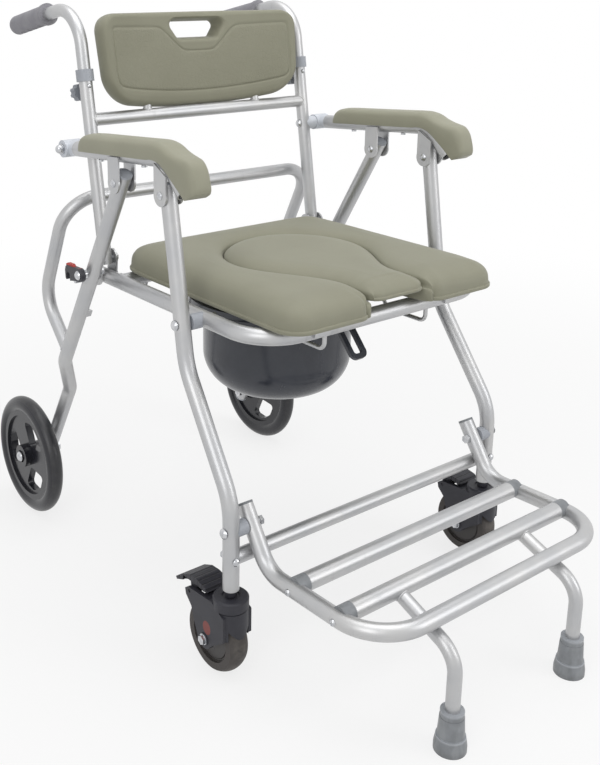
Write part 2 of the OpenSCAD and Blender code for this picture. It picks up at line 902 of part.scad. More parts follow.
module post_collars() {
  color(grey)
    both_sides()
      difference() {
        rod(post_high - lean * collar_low, post_high + lean * collar_high, collar_d);
        rod(post_high - lean * (collar_low + overrun), post_high + lean * weld_gap, post_od + 2 * weld_gap);
        rod(post_high - lean * overrun, post_high + lean * (collar_high + overrun), bar_od + 2 * slip);
      }
}

post_inner = rail_x - post_od / 2 - slip;
knuckle_half = 14;
knuckle_d = 25;
nut_seat = leg_x + knuckle_half + 2;
acorn_h = 9;

module arm_hinge_bolts() {
  color(metal)
    both_sides() {
      cross_rod(arm_hinge, post_inner, nut_seat, bolt_d);
      cross_rod(arm_hinge, nut_seat - 2 + slip, nut_seat, washer_d);
      dome(arm_hinge, nut_seat - weld_gap, nut_d, acorn_h);
      mirror([1, 0, 0])
        dome(arm_hinge, -post_inner - weld_gap, nut_d, dome_h);
    }
}

module arm_spacers() {
  color(grey)
    both_sides()
      difference() {
        cross_rod(arm_hinge, rail_x, leg_x - knuckle_half - slip, spacer_d);
        cross_rod(arm_hinge, rail_x - overrun, leg_x, bolt_d + 2 * run_fit);
        rod(post_low, post_high, post_od + 2 * weld_gap);
      }
}

// push handles

spigot_len = 78;
handle_corner = post_point(handle_z, rail_x);
handle_drop = 11;
handle_back = [0, cos(handle_drop), -sin(handle_drop)];
handle_end = handle_corner + handle_back * handle_reach;
shoulder = post_high + lean * slip;

module push_handle(side) {
  color(metal)
    on_side(side)
      difference() {
        union() {
          bent_rod([shoulder, handle_corner, handle_end], handle_bend, bar_od);
          rod(shoulder - lean * spigot_len, shoulder + lean * overrun, spigot_d);
        }
        bent_rod([shoulder, handle_corner, handle_end], handle_bend, spigot_d - 2 * wall, overrun);
        rod(shoulder - lean * (spigot_len + overrun), shoulder + lean * (2 * overrun), spigot_d - 2 * wall);
        rod(post_point(button_z, rail_x), post_point(button_z, rail_x) + forward * post_od, button_d + 1);
      }
}

finger_d = 16;
finger_pitch = 19;
finger_first = 24;
finger_count = 4;
finger_dip = 2.4;
grip_lip = 6;
lip_out = 1.5;
grip_end = 5;
end_round = 7;

// half section of the grip: a lip in front, a rounded closed end behind
module grip_profile() {
  full = grip_len + grip_end;
  square([grip_d / 2, full - end_round]);
  square([grip_d / 2 - end_round, full]);
  square([grip_d / 2 + lip_out, grip_lip]);
  translate([grip_d / 2 - end_round, full - end_round])
    circle(r = end_round + round_lap);
}

module grip(side) {
  start = handle_end - handle_back * grip_len;
  under = [0, -sin(handle_drop), -cos(handle_drop)];
  color(grey)
    on_side(side)
      difference() {
        along(start, handle_back)
          rotate_extrude()
            grip_profile();
        rod(start - handle_back * overrun, handle_end + handle_back * weld_gap, bar_od + 2 * weld_gap);
        for (k = [0 : finger_count - 1]) {
          reach = finger_first + k * finger_pitch;
          dip = start + handle_back * reach + under * (grip_d / 2 + finger_d / 2 - finger_dip);
          cross_rod([dip.y, dip.z], rail_x - grip_d, rail_x + grip_d, finger_d);
        }
      }
}

button_out = 3;

module handle_button(side) {
  p = post_point(button_z, rail_x);
  tip = p + forward * (post_od / 2 + button_out - button_d / 2);
  color(metal)
    on_side(side)
      difference() {
        union() {
          rod(p, tip, button_d);
          translate(tip)
            sphere(d = button_d + bend_step);
        }
        rod(post_low, post_high, spigot_d + 2 * slip);
      }
}

knob_d = 25;
knob_h = 13;
knob_off = 15;
lobe_d = 7;

module handle_knob(side) {
  p = post_point(knob_z, rail_x);
  color(grey)
    on_side(side)
      difference() {
        union() {
          rod(p - forward * (spigot_d / 2 + 0.2), p - forward * (knob_off + 1), bolt_d);
          rod(p - forward * knob_off, p - forward * (knob_off + knob_h), knob_d);
        }
        for (k = [0 : 7])
          let (a = 45 * k, r = knob_d / 2 + lobe_d * 0.22, off = [cos(a), lean.y * sin(a), lean.z * sin(a)] * r)
            rod(p + off - forward * (knob_off - overrun), p + off - forward * (knob_off + knob_h + overrun), lobe_d);
      }
}

// arms

arm_fore = [0, -cos(arm_rise), sin(arm_rise)];
arm_up = [0, sin(arm_rise), cos(arm_rise)];
function arm_axis(y) = [leg_x, y, arm_hinge.y + (arm_hinge.x - y) * tan(arm_rise)];
tube_start = side_point(arm_hinge, leg_x) + arm_fore * 22;
arm_path = [tube_start, arm_axis(arm_corner_y), [leg_x, arm_end_y, arm_end_z]];
arm_bend = 45;
screw_ys = [118, 8];
screw_d = 4;

module arm_tubes() {
  color(metal)
    both_sides()
      difference() {
        bent_rod(arm_path, arm_bend, leg_od);
        bent_rod(arm_path, arm_bend, leg_od - 2 * wall, overrun);
        for (y = screw_ys)
          rod(arm_axis(y), arm_axis(y) - arm_up * leg_od, screw_d + 2 * run_fit);
      }
}

module arm_knuckles() {
  p = side_point(arm_hinge, leg_x);
  color(grey)
    both_sides()
      difference() {
        union() {
          cross_rod(arm_hinge, leg_x - knuckle_half, leg_x + knuckle_half, knuckle_d);
          rod(p, tube_start - arm_fore * weld_gap, leg_od);
          rod(p, tube_start + arm_fore * plug_len, leg_od - 2 * wall - 2 * run_fit);
        }
        cross_rod(arm_hinge, leg_x - knuckle_d, leg_x + knuckle_d, bolt_d + 2 * run_fit);
      }
}

// arm pad stations: tube axis point and top point, [y, z] each, then half width share
arm_top = 25;
function arm_low_at(y) = let (p = arm_axis(y)) [p.y, p.z];
function arm_high_at(y, h) = arm_low_at(y) + [arm_up.y, arm_up.z] * h;
fore = [arm_fore.y, arm_fore.z];
droop = unit([arm_end_y, arm_end_z] - arm_low_at(arm_corner_y));
droop_turn = turn_angle(fore, droop);
droop_side = unit(droop - fore * (fore * droop));
bend_start = arm_low_at(arm_corner_y) - fore * (arm_bend * tan(droop_turn / 2));
function droop_at(l) = arm_low_at(arm_corner_y) + droop * l;
// tube axis at a share of the front bend
function bend_at(share) =
  let (a = droop_turn * share)
    bend_start + fore * (arm_bend * sin(a)) + droop_side * (arm_bend * (1 - cos(a)));
arm_stations = [
  [arm_low_at(149), arm_high_at(147, 14), 0.72], [arm_low_at(147), arm_high_at(143, 19), 0.86],
  [arm_low_at(140), arm_high_at(134, 23.5), 0.97], [arm_low_at(120), arm_high_at(118, arm_top), 1],
  [arm_low_at(60), arm_high_at(58, arm_top), 1], [arm_low_at(5), arm_high_at(2, arm_top), 1],
  [bend_at(0), arm_high_at(-32, arm_top), 1], [bend_at(0.25), arm_high_at(-46, 24.6), 1],
  [bend_at(0.5), arm_high_at(-60, 22.6), 1], [bend_at(0.75), arm_high_at(-72.5, 18.5), 0.99],
  [bend_at(1), arm_high_at(-85, 12.6), 0.98],
  [droop_at(33), arm_high_at(-103, 5.5), 0.94], [droop_at(44), arm_high_at(-118, 1.5), 0.9],
  [droop_at(52), arm_high_at(-127, -9), 0.86], [droop_at(57), arm_high_at(-131, -25), 0.82],
  [droop_at(60), arm_high_at(-129, -34), 0.78]
];
// slice across the pad: [half width share, height share]; the hollow over the tube follows
pad_slice = [
  [1, 0.02], [1.02, 0.22], [1, 0.48], [0.9, 0.76], [0.66, 0.93], [0.34, 0.985], [0, 1],
  [-0.34, 0.985], [-0.66, 0.93], [-0.9, 0.76], [-1, 0.48], [-1.02, 0.22], [-1, 0.02]
];
hollow_gap = 1.6;
hollow_r = leg_od / 2 + hollow_gap;
hollow_wall = 2.2;
hollow_low = 0.02;
hollow_angles = [180, 150, 120, 90, 60, 30, 0];
function arm_slice(st) =
  let (
    low = st[0], high = st[1], h = norm(high - low), u = (high - low) / h, w = arm_pad_half * st[2],
    r = min(hollow_r, w - hollow_wall, h - hollow_wall)
  )
    concat(
      [for (s = pad_slice) [leg_x + w * s.x, low.x + u.x * h * s.y, low.y + u.y * h * s.y]],
      [
        for (a = hollow_angles)
          let (v = max(h * hollow_low, r * sin(a)))
            [leg_x + r * cos(a), low.x + u.x * v, low.y + u.y * v]
      ]
    );
function slice_centre(st) =
  let (low = st[0], high = st[1], v = (hollow_r + norm(high - low)) / 2 / norm(high - low), q = mix(low, high, v))
    [leg_x, q.x, q.y];
last_station = len(arm_stations) - 1;

module arm_pad(side) {
  color(olive)
    on_side(side)
      skin(
        [for (k = [last_station : -1 : 0]) arm_slice(arm_stations[k])], false,
        [slice_centre(arm_stations[last_station]), slice_centre(arm_stations[0])]
      );
}

cheek_in = leg_od / 2 + 0.35;
cheek_t = 2.5;
cheek_half = 14;
cheek_neck = 0.96;
cheek_below = 2.5;
// axis height of the arm tube, with its front bend
function tube_z(y) =
  let (f = bend_start.x - y)
    f < 0 ? arm_axis(y).z
      : y > bend_at(1).x ? arm_axis(y).z - f * f / (2 * arm_bend)
      : arm_low_at(arm_corner_y).y + (y - arm_corner_y) * droop.y / droop.x;

// cheek plates either side of the tube, down to a pin
module arm_bracket(pin) {
  w = cheek_half * cheek_neck;
  for (x = [-cheek_in - cheek_t, cheek_in])
    translate([leg_x + x, 0, 0])
      rotate([90, 0, 90])
        linear_extrude(height = cheek_t)
          difference() {
            union() {
              translate(pin)
                circle(r = cheek_half);
              polygon([
                [pin.x - w, pin.y], [pin.x + w, pin.y],
                [pin.x + w, tube_z(pin.x + w) - cheek_below], [pin.x - w, tube_z(pin.x - w) - cheek_below]
              ]);
            }
            translate(pin)
              circle(d = bolt_d + 2 * run_fit);
          }
}

module arm_brackets() {
  color(metal)
    both_sides() {
      arm_bracket(front_pin);
      arm_bracket(rear_pin);
    }
}

cheek_out = cheek_in + cheek_t + 0.1;
pin_head_d = 11;
pin_head_h = 3;

module arm_pins() {
  color(metal)
    both_sides()
      for (pin = [front_pin, rear_pin]) {
        cross_rod(pin, leg_x - cheek_out, leg_x + cheek_out, bolt_d);
        dome(pin, leg_x + cheek_out - weld_gap, pin_head_d, pin_head_h);
        mirror([1, 0, 0])
          dome(pin, -leg_x + cheek_out - weld_gap, pin_head_d, pin_head_h);
      }
}

module arm_screws() {
  color(metal)
    both_sides()
      for (y = screw_ys)
        let (p = arm_axis(y)) {
          rod(p - arm_up * (leg_od / 2 - wall * 2), p - arm_up * (leg_od / 2 + 1), screw_d);
          rod(p - arm_up * (leg_od / 2 + 0.1), p - arm_up * (leg_od / 2 + 2.6), screw_d * 2);
        }
}

// front legs

knee = side_point(seat_pivot, leg_x) - lean * knee_drop;
leg_head = side_point(front_pin, leg_x) + lean * leg_top;
leg_path = [leg_head, knee, [foot_leg_x, foot_y, ankle_z], [foot_leg_x, foot_y, leg_end_z]];
foot_pivot = [foot_y, foot_pivot_z];
cross_bolt_d = 6;

module front_leg(side) {
  color(metal)
    on_side(side)
      difference() {
        bent_rod(leg_path, leg_bend, leg_od);
        bent_rod(leg_path, leg_bend, leg_od - 2 * wall, overrun);
        for (p = [front_pin, seat_pivot, foot_pivot])
          cross_rod(p, leg_x - leg_od, foot_leg_x + leg_od, bolt_d + 2 * run_fit);
        translate([foot_leg_x, foot_y - leg_od, cross_z])
          rotate([-90, 0, 0])
            cylinder(h = 2 * leg_od, d = cross_bolt_d + 2 * run_fit);
      }
}

module front_cross_bar() {
  color(metal)
    difference() {
      cross_rod([foot_y, cross_z], -foot_leg_x, foot_leg_x, rear_bar_od);
      cross_rod([foot_y, cross_z], -foot_leg_x - overrun, foot_leg_x + overrun, rear_bar_od - 2 * wall);
      both_sides()
        translate([foot_leg_x, foot_y, leg_end_z])
          cylinder(h = ankle_z - leg_end_z, d = leg_od + 2 * weld_gap);
    }
}

module cross_bar_bolts() {
  color(metal)
    both_sides()
      translate([foot_leg_x, foot_y, cross_z])
        rotate([0, 0, -90]) {
          cross_rod([0, 0], -leg_od / 2 - slip, leg_od / 2 + slip, cross_bolt_d);
          dome([0, 0], leg_od / 2 + slip - weld_gap, nut_d - 2, dome_h - 1);
          hex_nut([0, 0], -leg_od / 2 - slip - nut_h, nut_d - 2, nut_h + weld_gap);
        }
}

foot_inner = foot_x - foot_od / 2 - slip;

module footrest_bolts() {
  color(metal)
    both_sides()
      side_bolt(foot_pivot, foot_inner, foot_leg_x + leg_od / 2 + slip, bolt_d);
}

module footrest_spacers() {
  color(grey)
    both_sides()
      difference() {
        cross_rod(foot_pivot, foot_x + foot_od / 2 + slip, foot_leg_x, spacer_d);
        cross_rod(foot_pivot, foot_x, foot_leg_x + overrun, bolt_d + 2 * run_fit);
        translate([foot_leg_x, foot_y, leg_end_z])
          cylinder(h = ankle_z - leg_end_z, d = leg_od + 2 * weld_gap);
      }
}

module front_leg_plugs() {
  color(grey)
    both_sides()
      difference() {
        end_plug(leg_head, lean, leg_od);
        cross_rod(front_pin, leg_x - leg_od, leg_x + leg_od, bolt_d + 2 * run_fit);
      }
}

neck_d = 16;
king_d = 10;
king_low = 103;
stem_up = 24;

module caster_stems() {
  color(black)
    both_sides()
      translate([foot_leg_x, foot_y, 0]) {
        translate([0, 0, housing_top + slip])
          cylinder(h = leg_end_z - weld_gap - housing_top - slip, d = neck_d);
        translate([0, 0, king_low])
          cylinder(h = leg_end_z - king_low, d = king_d);
        translate([0, 0, leg_end_z - 1])
          cylinder(h = stem_up, d = leg_od - 2 * wall - 2 * run_fit);
      }
}

// casters: local frame at the stem, wheel trailing to +Y

wheel_r = caster_d / 2;
axle = [trail, wheel_r];
wheel_clear = 3;
fork_gap = caster_w / 2 + 1.6;
fork_t = housing_d / 2 - fork_gap;
cap_d = housing_d + 1.4;
cap_h = 15;
groove = 1.6;
housing_low = 66;
brake_pivot = [trail + 33, 104];
brake_pin_d = 5;
boss_r = 14;
axle_boss = 1;
cap_edge = 2;
brace_at = [8, 104];
brace = [26, 8];
neck_room = 8;
neck_deep = 1.2;
cheek_outline = [
  [-14, housing_low], [-14, 100], [10, 113], [26, 112], [62, 109], [70, 104], [68, 96], [56, 84], [50, 66],
  [41, 46], [34, 38], [20, 38], [8, 50]
];

module at_caster(side) {
  translate([side * foot_leg_x, foot_y, 0])
    children();
}

module caster_fork(side) {
  color(black)
    at_caster(side)
      difference() {
        union() {
          translate([0, 0, housing_low])
            cylinder(h = housing_top - cap_h - groove - housing_low, d = housing_d);
          translate([0, 0, housing_low])
            cylinder(h = housing_top - cap_edge - housing_low, d = housing_d - cap_edge);
          translate([0, 0, housing_top - cap_h])
            cylinder(h = cap_h - cap_edge, d = cap_d);
          translate([0, 0, housing_top - cap_edge])
            cylinder(h = cap_edge, d1 = cap_d, d2 = cap_d - 2 * cap_edge);
          for (s = [-1, 1])
            translate([s * (fork_gap + fork_t / 2) - fork_t / 2, 0, 0])
              rotate([90, 0, 90])
                linear_extrude(height = fork_t) {
                  polygon(cheek_outline);
                  translate(axle)
                    circle(r = boss_r);
                }
          both_sides()
            cross_rod(axle, fork_gap, housing_d / 2 + axle_boss - weld_gap, washer_d + 2 * axle_boss);
          translate([-fork_gap - overrun / 2, brace_at.x, brace_at.y])
            cube([2 * fork_gap + overrun, brace.x, brace.y]);
        }
        cross_rod(axle, -fork_gap, fork_gap, caster_d + 2 * wheel_clear);
        cross_rod(axle, -housing_d, housing_d, bolt_d + 2 * run_fit);
        cross_rod(brake_pivot, -housing_d, housing_d, brake_pin_d + 2 * run_fit);
        translate([0, 0, king_low - axle_boss])
          cylinder(h = housing_top, d = king_d + 2 * run_fit);
        translate([0, 0, housing_top - neck_deep])
          cylinder(h = 2 * overrun, d = neck_d + neck_room);
      }
}

module caster_axles(side) {
  color(metal)
    at_caster(side)
      both_sides() {
        cross_rod(axle, -overrun, housing_d / 2 + dome_h, bolt_d);
        cross_rod(axle, housing_d / 2 + axle_boss, housing_d / 2 + 2 * axle_boss, washer_d);
        hex_nut(axle, housing_d / 2 + 2 * axle_boss - weld_gap, nut_d, nut_h - axle_boss);
      }
}

pedal_half = 19;
pedal_outline = [
  [26, 117], [31, 121.5], [50, 125], [66, 124], [84, 116], [97, 106], [95, 102.5], [80, 109], [67, 115],
  [66, 104], [61, 99], [55, 100], [53, 108], [50, 117], [34, 115]
];
ridge_d = 2.4;
ridges = [[42, 124.6], [50, 126], [58, 125.6]];
pedal_low = 90;
pedal_clear = [40, 26];

module brake_pedal(side) {
  color(black)
    at_caster(side) {
      difference() {
        translate([-pedal_half, 0, 0])
          rotate([90, 0, 90])
            linear_extrude(height = 2 * pedal_half)
              polygon(pedal_outline);
        for (x = [-pedal_half - overrun, fork_gap - slip])
          translate([x, brake_pivot.x - pedal_clear.x / 2, pedal_low])
            cube([pedal_half + overrun - fork_gap + slip, pedal_clear.x, pedal_clear.y]);
        for (q = ridges)
          cross_rod(q, -pedal_half - overrun, pedal_half + overrun, ridge_d);
        cross_rod(brake_pivot, -housing_d, housing_d, brake_pin_d);
      }
      cross_rod(brake_pivot, -housing_d / 2 + axle_boss, housing_d / 2 - axle_boss, brake_pin_d);
    }
}

hub_r = 36;
crown_r = 24;
hub_in = 4;
hub_face = 9;
hub_clear = 0.4;
groove_d = 3;

module caster_wheel(side) {
  color(black)
    at_caster(side)
      translate([0, axle.x, axle.y])
        rotate([0, 90, 0])
          rotate_extrude()
            difference() {
              union() {
                intersection() {
                  translate([wheel_r - crown_r, 0])
                    circle(r = crown_r);
                  translate([hub_r - 1, -caster_w / 2])
                    square([wheel_r, caster_w]);
                }
                translate([bolt_d / 2 + run_fit, -caster_w / 2 + hub_in])
                  square([hub_r, caster_w - 2 * hub_in]);
                translate([bolt_d / 2 + run_fit, -fork_gap + hub_clear])
                  square([hub_face, 2 * (fork_gap - hub_clear)]);
              }
              for (s = [-1, 1])
                translate([hub_r - hub_in, s * (caster_w / 2 - hub_in)])
                  circle(d = groove_d);
            }
}

// rear legs

rear_head_z = rear_pin_z + leg_top * cos(rear_lean);
rear_tail = 13;
rear_path = [
  [leg_x, rear_y(rear_head_z), rear_head_z], [leg_x, rear_y(jog_top_z), jog_top_z],
  [rear_low_x, rear_y(jog_low_z), jog_low_z], [rear_low_x, rear_y(axle_z - rear_tail), axle_z - rear_tail]
];
rear_up = [0, -sin(rear_lean), cos(rear_lean)];
jog_bend = 45;
axle_d = 10;
latch_z = 471;
latch_pivot = [rear_y(latch_z), latch_z];
latch_d = 6;
lug_z = 396;
lug_out = 8;
lug_d = 14;

module rear_legs() {
  color(metal) {
    both_sides()
      difference() {
        bent_rod(rear_path, jog_bend, leg_od);
        bent_rod(rear_path, jog_bend, leg_od - 2 * wall, overrun);
        cross_rod(rear_pin, leg_x - leg_od, leg_x + leg_od, bolt_d + 2 * run_fit);
        cross_rod([axle_y, axle_z], rear_low_x - leg_od, rear_low_x + leg_od, axle_d + 2 * run_fit);
        cross_rod(latch_pivot, leg_x - leg_od, leg_x + leg_od, latch_d + 2 * run_fit);
      }
    // small riveted lug on the inner side of each leg
    both_sides()
      difference() {
        translate([leg_x - leg_od / 2 - lug_out, rear_y(lug_z), lug_z])
          rotate([0, 90, 0])
            cylinder(h = leg_od, d = lug_d, $fn = 3);
        rod([leg_x, rear_y(rear_head_z), rear_head_z], [leg_x, rear_y(jog_top_z), jog_top_z], leg_od - wall);
        translate([leg_x, rear_y(lug_z) - leg_od, lug_z - leg_od])
          cube([leg_od, 2 * leg_od, 2 * leg_od]);
      }
  }
}

hoop_end_z = 326;
hoop_path = [
  [-leg_x, rear_y(hoop_end_z), hoop_end_z], [-leg_x, hoop_back_y, hoop_back_z], [-leg_x, hoop_bar_y, hoop_bar_z],
  [leg_x, hoop_bar_y, hoop_bar_z], [leg_x, hoop_back_y, hoop_back_z], [leg_x, rear_y(hoop_end_z), hoop_end_z]
];

module rear_hoop() {
  color(metal)
    difference() {
      bent_rod(hoop_path, hoop_bend, hoop_od);
      bent_rod(hoop_path, hoop_bend, hoop_od - 2 * wall, overrun);
      both_sides()
        rod([leg_x, rear_y(rear_head_z), rear_head_z], [leg_x, rear_y(jog_top_z), jog_top_z], leg_od + 2 * weld_gap);
    }
}

module rear_leg_plugs() {
  foot = rear_path[3];
  color(grey)
    both_sides() {
      difference() {
        end_plug(rear_path[0], rear_up, leg_od);
        cross_rod(rear_pin, leg_x - leg_od, leg_x + leg_od, bolt_d + 2 * run_fit);
      }
      difference() {
        end_plug(foot, -rear_up, leg_od);
        cross_rod([axle_y, axle_z], rear_low_x - leg_od, rear_low_x + leg_od, axle_d + 2 * run_fit);
      }
    }
}

wheel_in = rear_low_x + leg_od / 2 + slip;
wheel_half = 18;
wheel_out = rear_wheel_x + wheel_half;
axle_over = 1.4;
axle_tip = wheel_out + axle_over;
axle_nut_d = nut_d + 4;

module rear_axles() {
  color(metal) {
    both_sides() {
      cross_rod([axle_y, axle_z], rear_low_x - leg_od / 2 - slip, axle_tip, axle_d);
      dome([axle_y, axle_z], axle_tip - weld_gap, axle_nut_d, dome_h + plate_t / 3);
      hex_nut([axle_y, axle_z], rear_low_x - leg_od / 2 - slip - nut_h, axle_nut_d, nut_h + weld_gap);
    }
    // latch pivot bolt on the sitter's right
    mirror([1, 0, 0]) {
      cross_rod(latch_pivot, leg_x - leg_od / 2 - slip, hook_out + slip, latch_d);
      cross_rod(latch_pivot, leg_x + leg_od / 2 + slip, hook_in - slip, washer_d - 2);
      dome(latch_pivot, hook_out + slip - weld_gap, dome_d, dome_h);
      hex_nut(latch_pivot, leg_x - leg_od / 2 - slip - nut_h, nut_d - 2, nut_h + weld_gap);
    }
  }
}

rear_r = rear_wheel_d / 2;
tyre_r = tyre_w / 2;
rim_r = rear_r - tyre_w;
rim_deep = 9;
rim_share = 0.74;
rear_hub_d = 38;
hub_recess = 5;
recess_d = nut_d + 8;
web_t = 12;
window_r = 6;
window_count = 3;
window_turn = 90;
// window corners as shares of the rim radius
window = [[0.43, 0], [0.68, 0.36], [0.8, 0.2], [0.83, 0], [0.8, -0.2], [0.68, -0.36]];

module rear_wheel(side) {
  color(black)
    on_side(side)
      translate([rear_wheel_x, axle_y, axle_z])
        rotate([0, 90, 0])
          difference() {
            union() {
              rotate_extrude() {
                translate([rear_r - tyre_r, 0])
                  circle(r = tyre_r);
                translate([rim_r - rim_deep / 2, -tyre_r * rim_share])
                  square([rim_deep, 2 * tyre_r * rim_share]);
              }
              translate([0, 0, wheel_in - rear_wheel_x])
                cylinder(h = wheel_out - wheel_in, d = rear_hub_d);
              translate([0, 0, -web_t / 2])
                cylinder(h = web_t, r = rim_r);
            }
            for (k = [0 : window_count - 1])
              rotate([0, 0, 360 * k / window_count + window_turn])
                translate([0, 0, -web_t])
                  linear_extrude(height = 2 * web_t)
                    round_polygon([for (i = [len(window) - 1 : -1 : 0]) window[i] * (rim_r - rim_deep / 2)], window_r);
            translate([0, 0, -rear_r])
              cylinder(h = 2 * rear_r, d = axle_d + 2 * run_fit);
            translate([0, 0, wheel_out - rear_wheel_x - hub_recess])
              cylinder(h = rear_r, d = recess_d);
          }
}

// latch on the sitter's right

hook_in = stop_out + stop_d / 4 + slip;
hook_t = 7;
hook_out = hook_in + hook_t;
hook_reach = norm([stop_y, seat_z] - latch_pivot);
hook_aim = 12;
notch = [hook_reach * cos(hook_aim), -hook_reach * sin(hook_aim)];
notch_room = 1.2;
notch_half = stop_d / 2 + notch_room;
notch_neck = 0.99;
hook_r = 10;
hook_deep = 14;
hook_outline = [
  [0, 9.6], [24, 9], [notch.x + 7, 6], [notch.x + 9, 0], [notch.x + 8, -12],
  [notch.x + notch_half, -hook_deep], [notch.x - notch_half, -hook_deep], [12, -11], [0, -9.6]
];
tab_at = [15, 8.2];
tab_in = 1;
tab_outline = [[0, 0], [22, -3.2], [23, 1], [18, 3.6], [4, 4]];

module latch_hook() {
  color(black)
    mirror([1, 0, 0])
      translate([hook_in, latch_pivot.x, latch_pivot.y])
        rotate([90, 0, 90]) {
          linear_extrude(height = hook_t)
            difference() {
              union() {
                circle(r = hook_r);
                polygon(hook_outline);
              }
              circle(d = latch_d + 2 * run_fit);
              translate(notch)
                circle(r = notch_half);
              translate([notch.x - notch_half * notch_neck, notch.y - 2 * hook_deep])
                square([2 * notch_half * notch_neck, 2 * hook_deep]);
            }
          translate([tab_at.x, tab_at.y, tab_in])
            linear_extrude(height = hook_t - 2 * tab_in)
              polygon(tab_outline);
        }
}

// footrest

arm_down = [0, -sin(foot_tilt), -cos(foot_tilt)];
foot_over = 25;
foot_rise = 7;
foot_top = side_point(foot_pivot, foot_x) - arm_down * foot_over;
foot_knee = side_point(foot_pivot, foot_x) + arm_down * foot_drop;
foot_z = foot_knee.z + foot_rise;
foot_path = [
  foot_top, foot_knee, [foot_x, foot_front, foot_z],
  [-foot_x, foot_front, foot_z], [-foot_knee.x, foot_knee.y, foot_knee.z], [-foot_top.x, foot_top.y, foot_top.z]
];
foot_bends = [0, 45, 66, 66, 45, 0];
slat_screw_d = 5;
slats = [slat_one_y, slat_two_y];
slat_lift = 4;
// height of the side tube axis, and of a slat lying a little above it
function foot_axis(y) = mix(foot_knee.z, foot_z, (foot_knee.y - y) / (foot_knee.y - foot_front));
function slat_z(y) = foot_axis(y) + slat_lift;

module footrest_frame() {
  color(metal)
    difference() {
      bent_rod(foot_path, foot_bends, foot_od);
      bent_rod(foot_path, foot_bends, foot_od - 2 * wall, overrun);
      both_sides() {
        cross_rod(foot_pivot, foot_x - foot_od, foot_x + foot_od, bolt_d + 2 * run_fit);
        for (y = slats)
          cross_rod([y, foot_axis(y)], foot_x - foot_od, foot_x + foot_od, slat_screw_d + 2 * run_fit);
      }
    }
}

saddle_len = 10;
saddle_lap = 3;
slat_end = foot_x - foot_od / 2 - saddle_len + saddle_lap;
prop_knee_z = 127;
prop_low = 9;
prop_path = [
  [prop_x, slat_two_y, slat_z(slat_two_y) - slat_lift], [prop_x, prop_y, prop_knee_z], [prop_x, prop_y, prop_low]
];
prop_bend = 38;

// slats with their end saddles, screws and welded prop legs
module footrest_slats() {
  color(metal) {
    difference() {
      union() {
        for (y = slats)
          cross_rod([y, slat_z(y)], -slat_end, slat_end, slat_od);
        both_sides()
          bent_rod(prop_path, prop_bend, prop_od);
      }
      for (y = slats)
        cross_rod([y, slat_z(y)], -slat_end - overrun, slat_end + overrun, slat_od - 2 * wall);
      both_sides()
        bent_rod(prop_path, prop_bend, prop_od - 2 * wall, overrun);
    }
  }
}

module slat_saddle(y) {
  difference() {
    union() {
      cross_rod([y, slat_z(y)], slat_end + weld_gap, foot_x, slat_od);
      cross_rod([y, slat_z(y)], slat_end - plug_len, foot_x, slat_od - 2 * wall - 2 * run_fit);
    }
    bent_rod(foot_path, foot_bends, foot_od + 2 * weld_gap);
    cross_rod([y, foot_axis(y)], slat_end - 2 * plug_len, foot_x + foot_od, slat_screw_d + 2 * run_fit);
  }
}

tip_base = 8;
tip_cone = 12;
tip_step = 2;

// rubber tips on the prop legs, with the grey saddles and plugs of the footrest
module foot_tips() {
  color(grey) {
    both_sides() {
      translate([prop_x, prop_y, 0])
        difference() {
          union() {
            cylinder(h = tip_base, d = tip_d);
            translate([0, 0, tip_base - weld_gap])
              cylinder(h = tip_cone, d1 = tip_d, d2 = tip_d - 2 * tip_step);
            translate([0, 0, tip_base])
              cylinder(h = tip_h - 2 * tip_base, d1 = tip_d - 2.5 * tip_step, d2 = tip_d - 5 * tip_step);
            translate([0, 0, tip_base])
              cylinder(h = tip_h - tip_base, d = tip_d - 5.5 * tip_step);
          }
          translate([0, 0, prop_low - weld_gap])
            cylinder(h = tip_h, d = prop_od + 2 * weld_gap);
        }
      end_plug(foot_top, -arm_down, foot_od);
      for (y = slats)
        slat_saddle(y);
    }
  }
}

module place() {
  translate([0, frame_shift, 0])
    children();
}

place() seat_frame();
place() pan_rails();
place() rail_plugs();
place() seat_bolts();
place() seat_spacers();
place() back_brackets();
place() back_bolts();
place() stop_pins();
place() pad_clips();
place() seat_pad();
place() seat_insert();
place() commode_pan();
place() pan_handle();
place() back_frame();
place() backrest_stubs();
place() backrest_pad();
place() post_collars();
place() arm_hinge_bolts();
place() arm_spacers();
place() push_handle(-1);  // push_handle_r
place() push_handle(1);  // push_handle_l
place() grip(-1);  // grip_r
place() grip(1);  // grip_l
place() handle_button(-1);  // handle_button_r
place() handle_button(1);  // handle_button_l
place() handle_knob(-1);  // handle_knob_r
place() handle_knob(1);  // handle_knob_l
place() arm_tubes();
place() arm_knuckles();
place() arm_pad(-1);  // arm_pad_r
place() arm_pad(1);  // arm_pad_l
place() arm_brackets();
place() arm_pins();
place() arm_screws();
place() front_leg(-1);  // front_leg_r
place() front_leg(1);  // front_leg_l
place() front_cross_bar();
place() cross_bar_bolts();
place() footrest_bolts();
place() footrest_spacers();
place() front_leg_plugs();
place() caster_stems();
place() caster_fork(-1);  // caster_fork_r
place() caster_fork(1);  // caster_fork_l
place() caster_axles(-1);  // caster_axles_r
place() caster_axles(1);  // caster_axles_l
place() brake_pedal(-1);  // brake_pedal_r
place() brake_pedal(1);  // brake_pedal_l
place() caster_wheel(-1);  // caster_wheel_r
place() caster_wheel(1);  // caster_wheel_l
place() rear_legs();
place() rear_hoop();
place() rear_leg_plugs();
place() rear_axles();
place() rear_wheel(-1);  // rear_wheel_r
place() rear_wheel(1);  // rear_wheel_l
place() latch_hook();
place() footrest_frame();
place() footrest_slats();
place() foot_tips();
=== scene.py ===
import math

import bmesh
import bpy
import numpy as np
from mathutils import Matrix, Vector


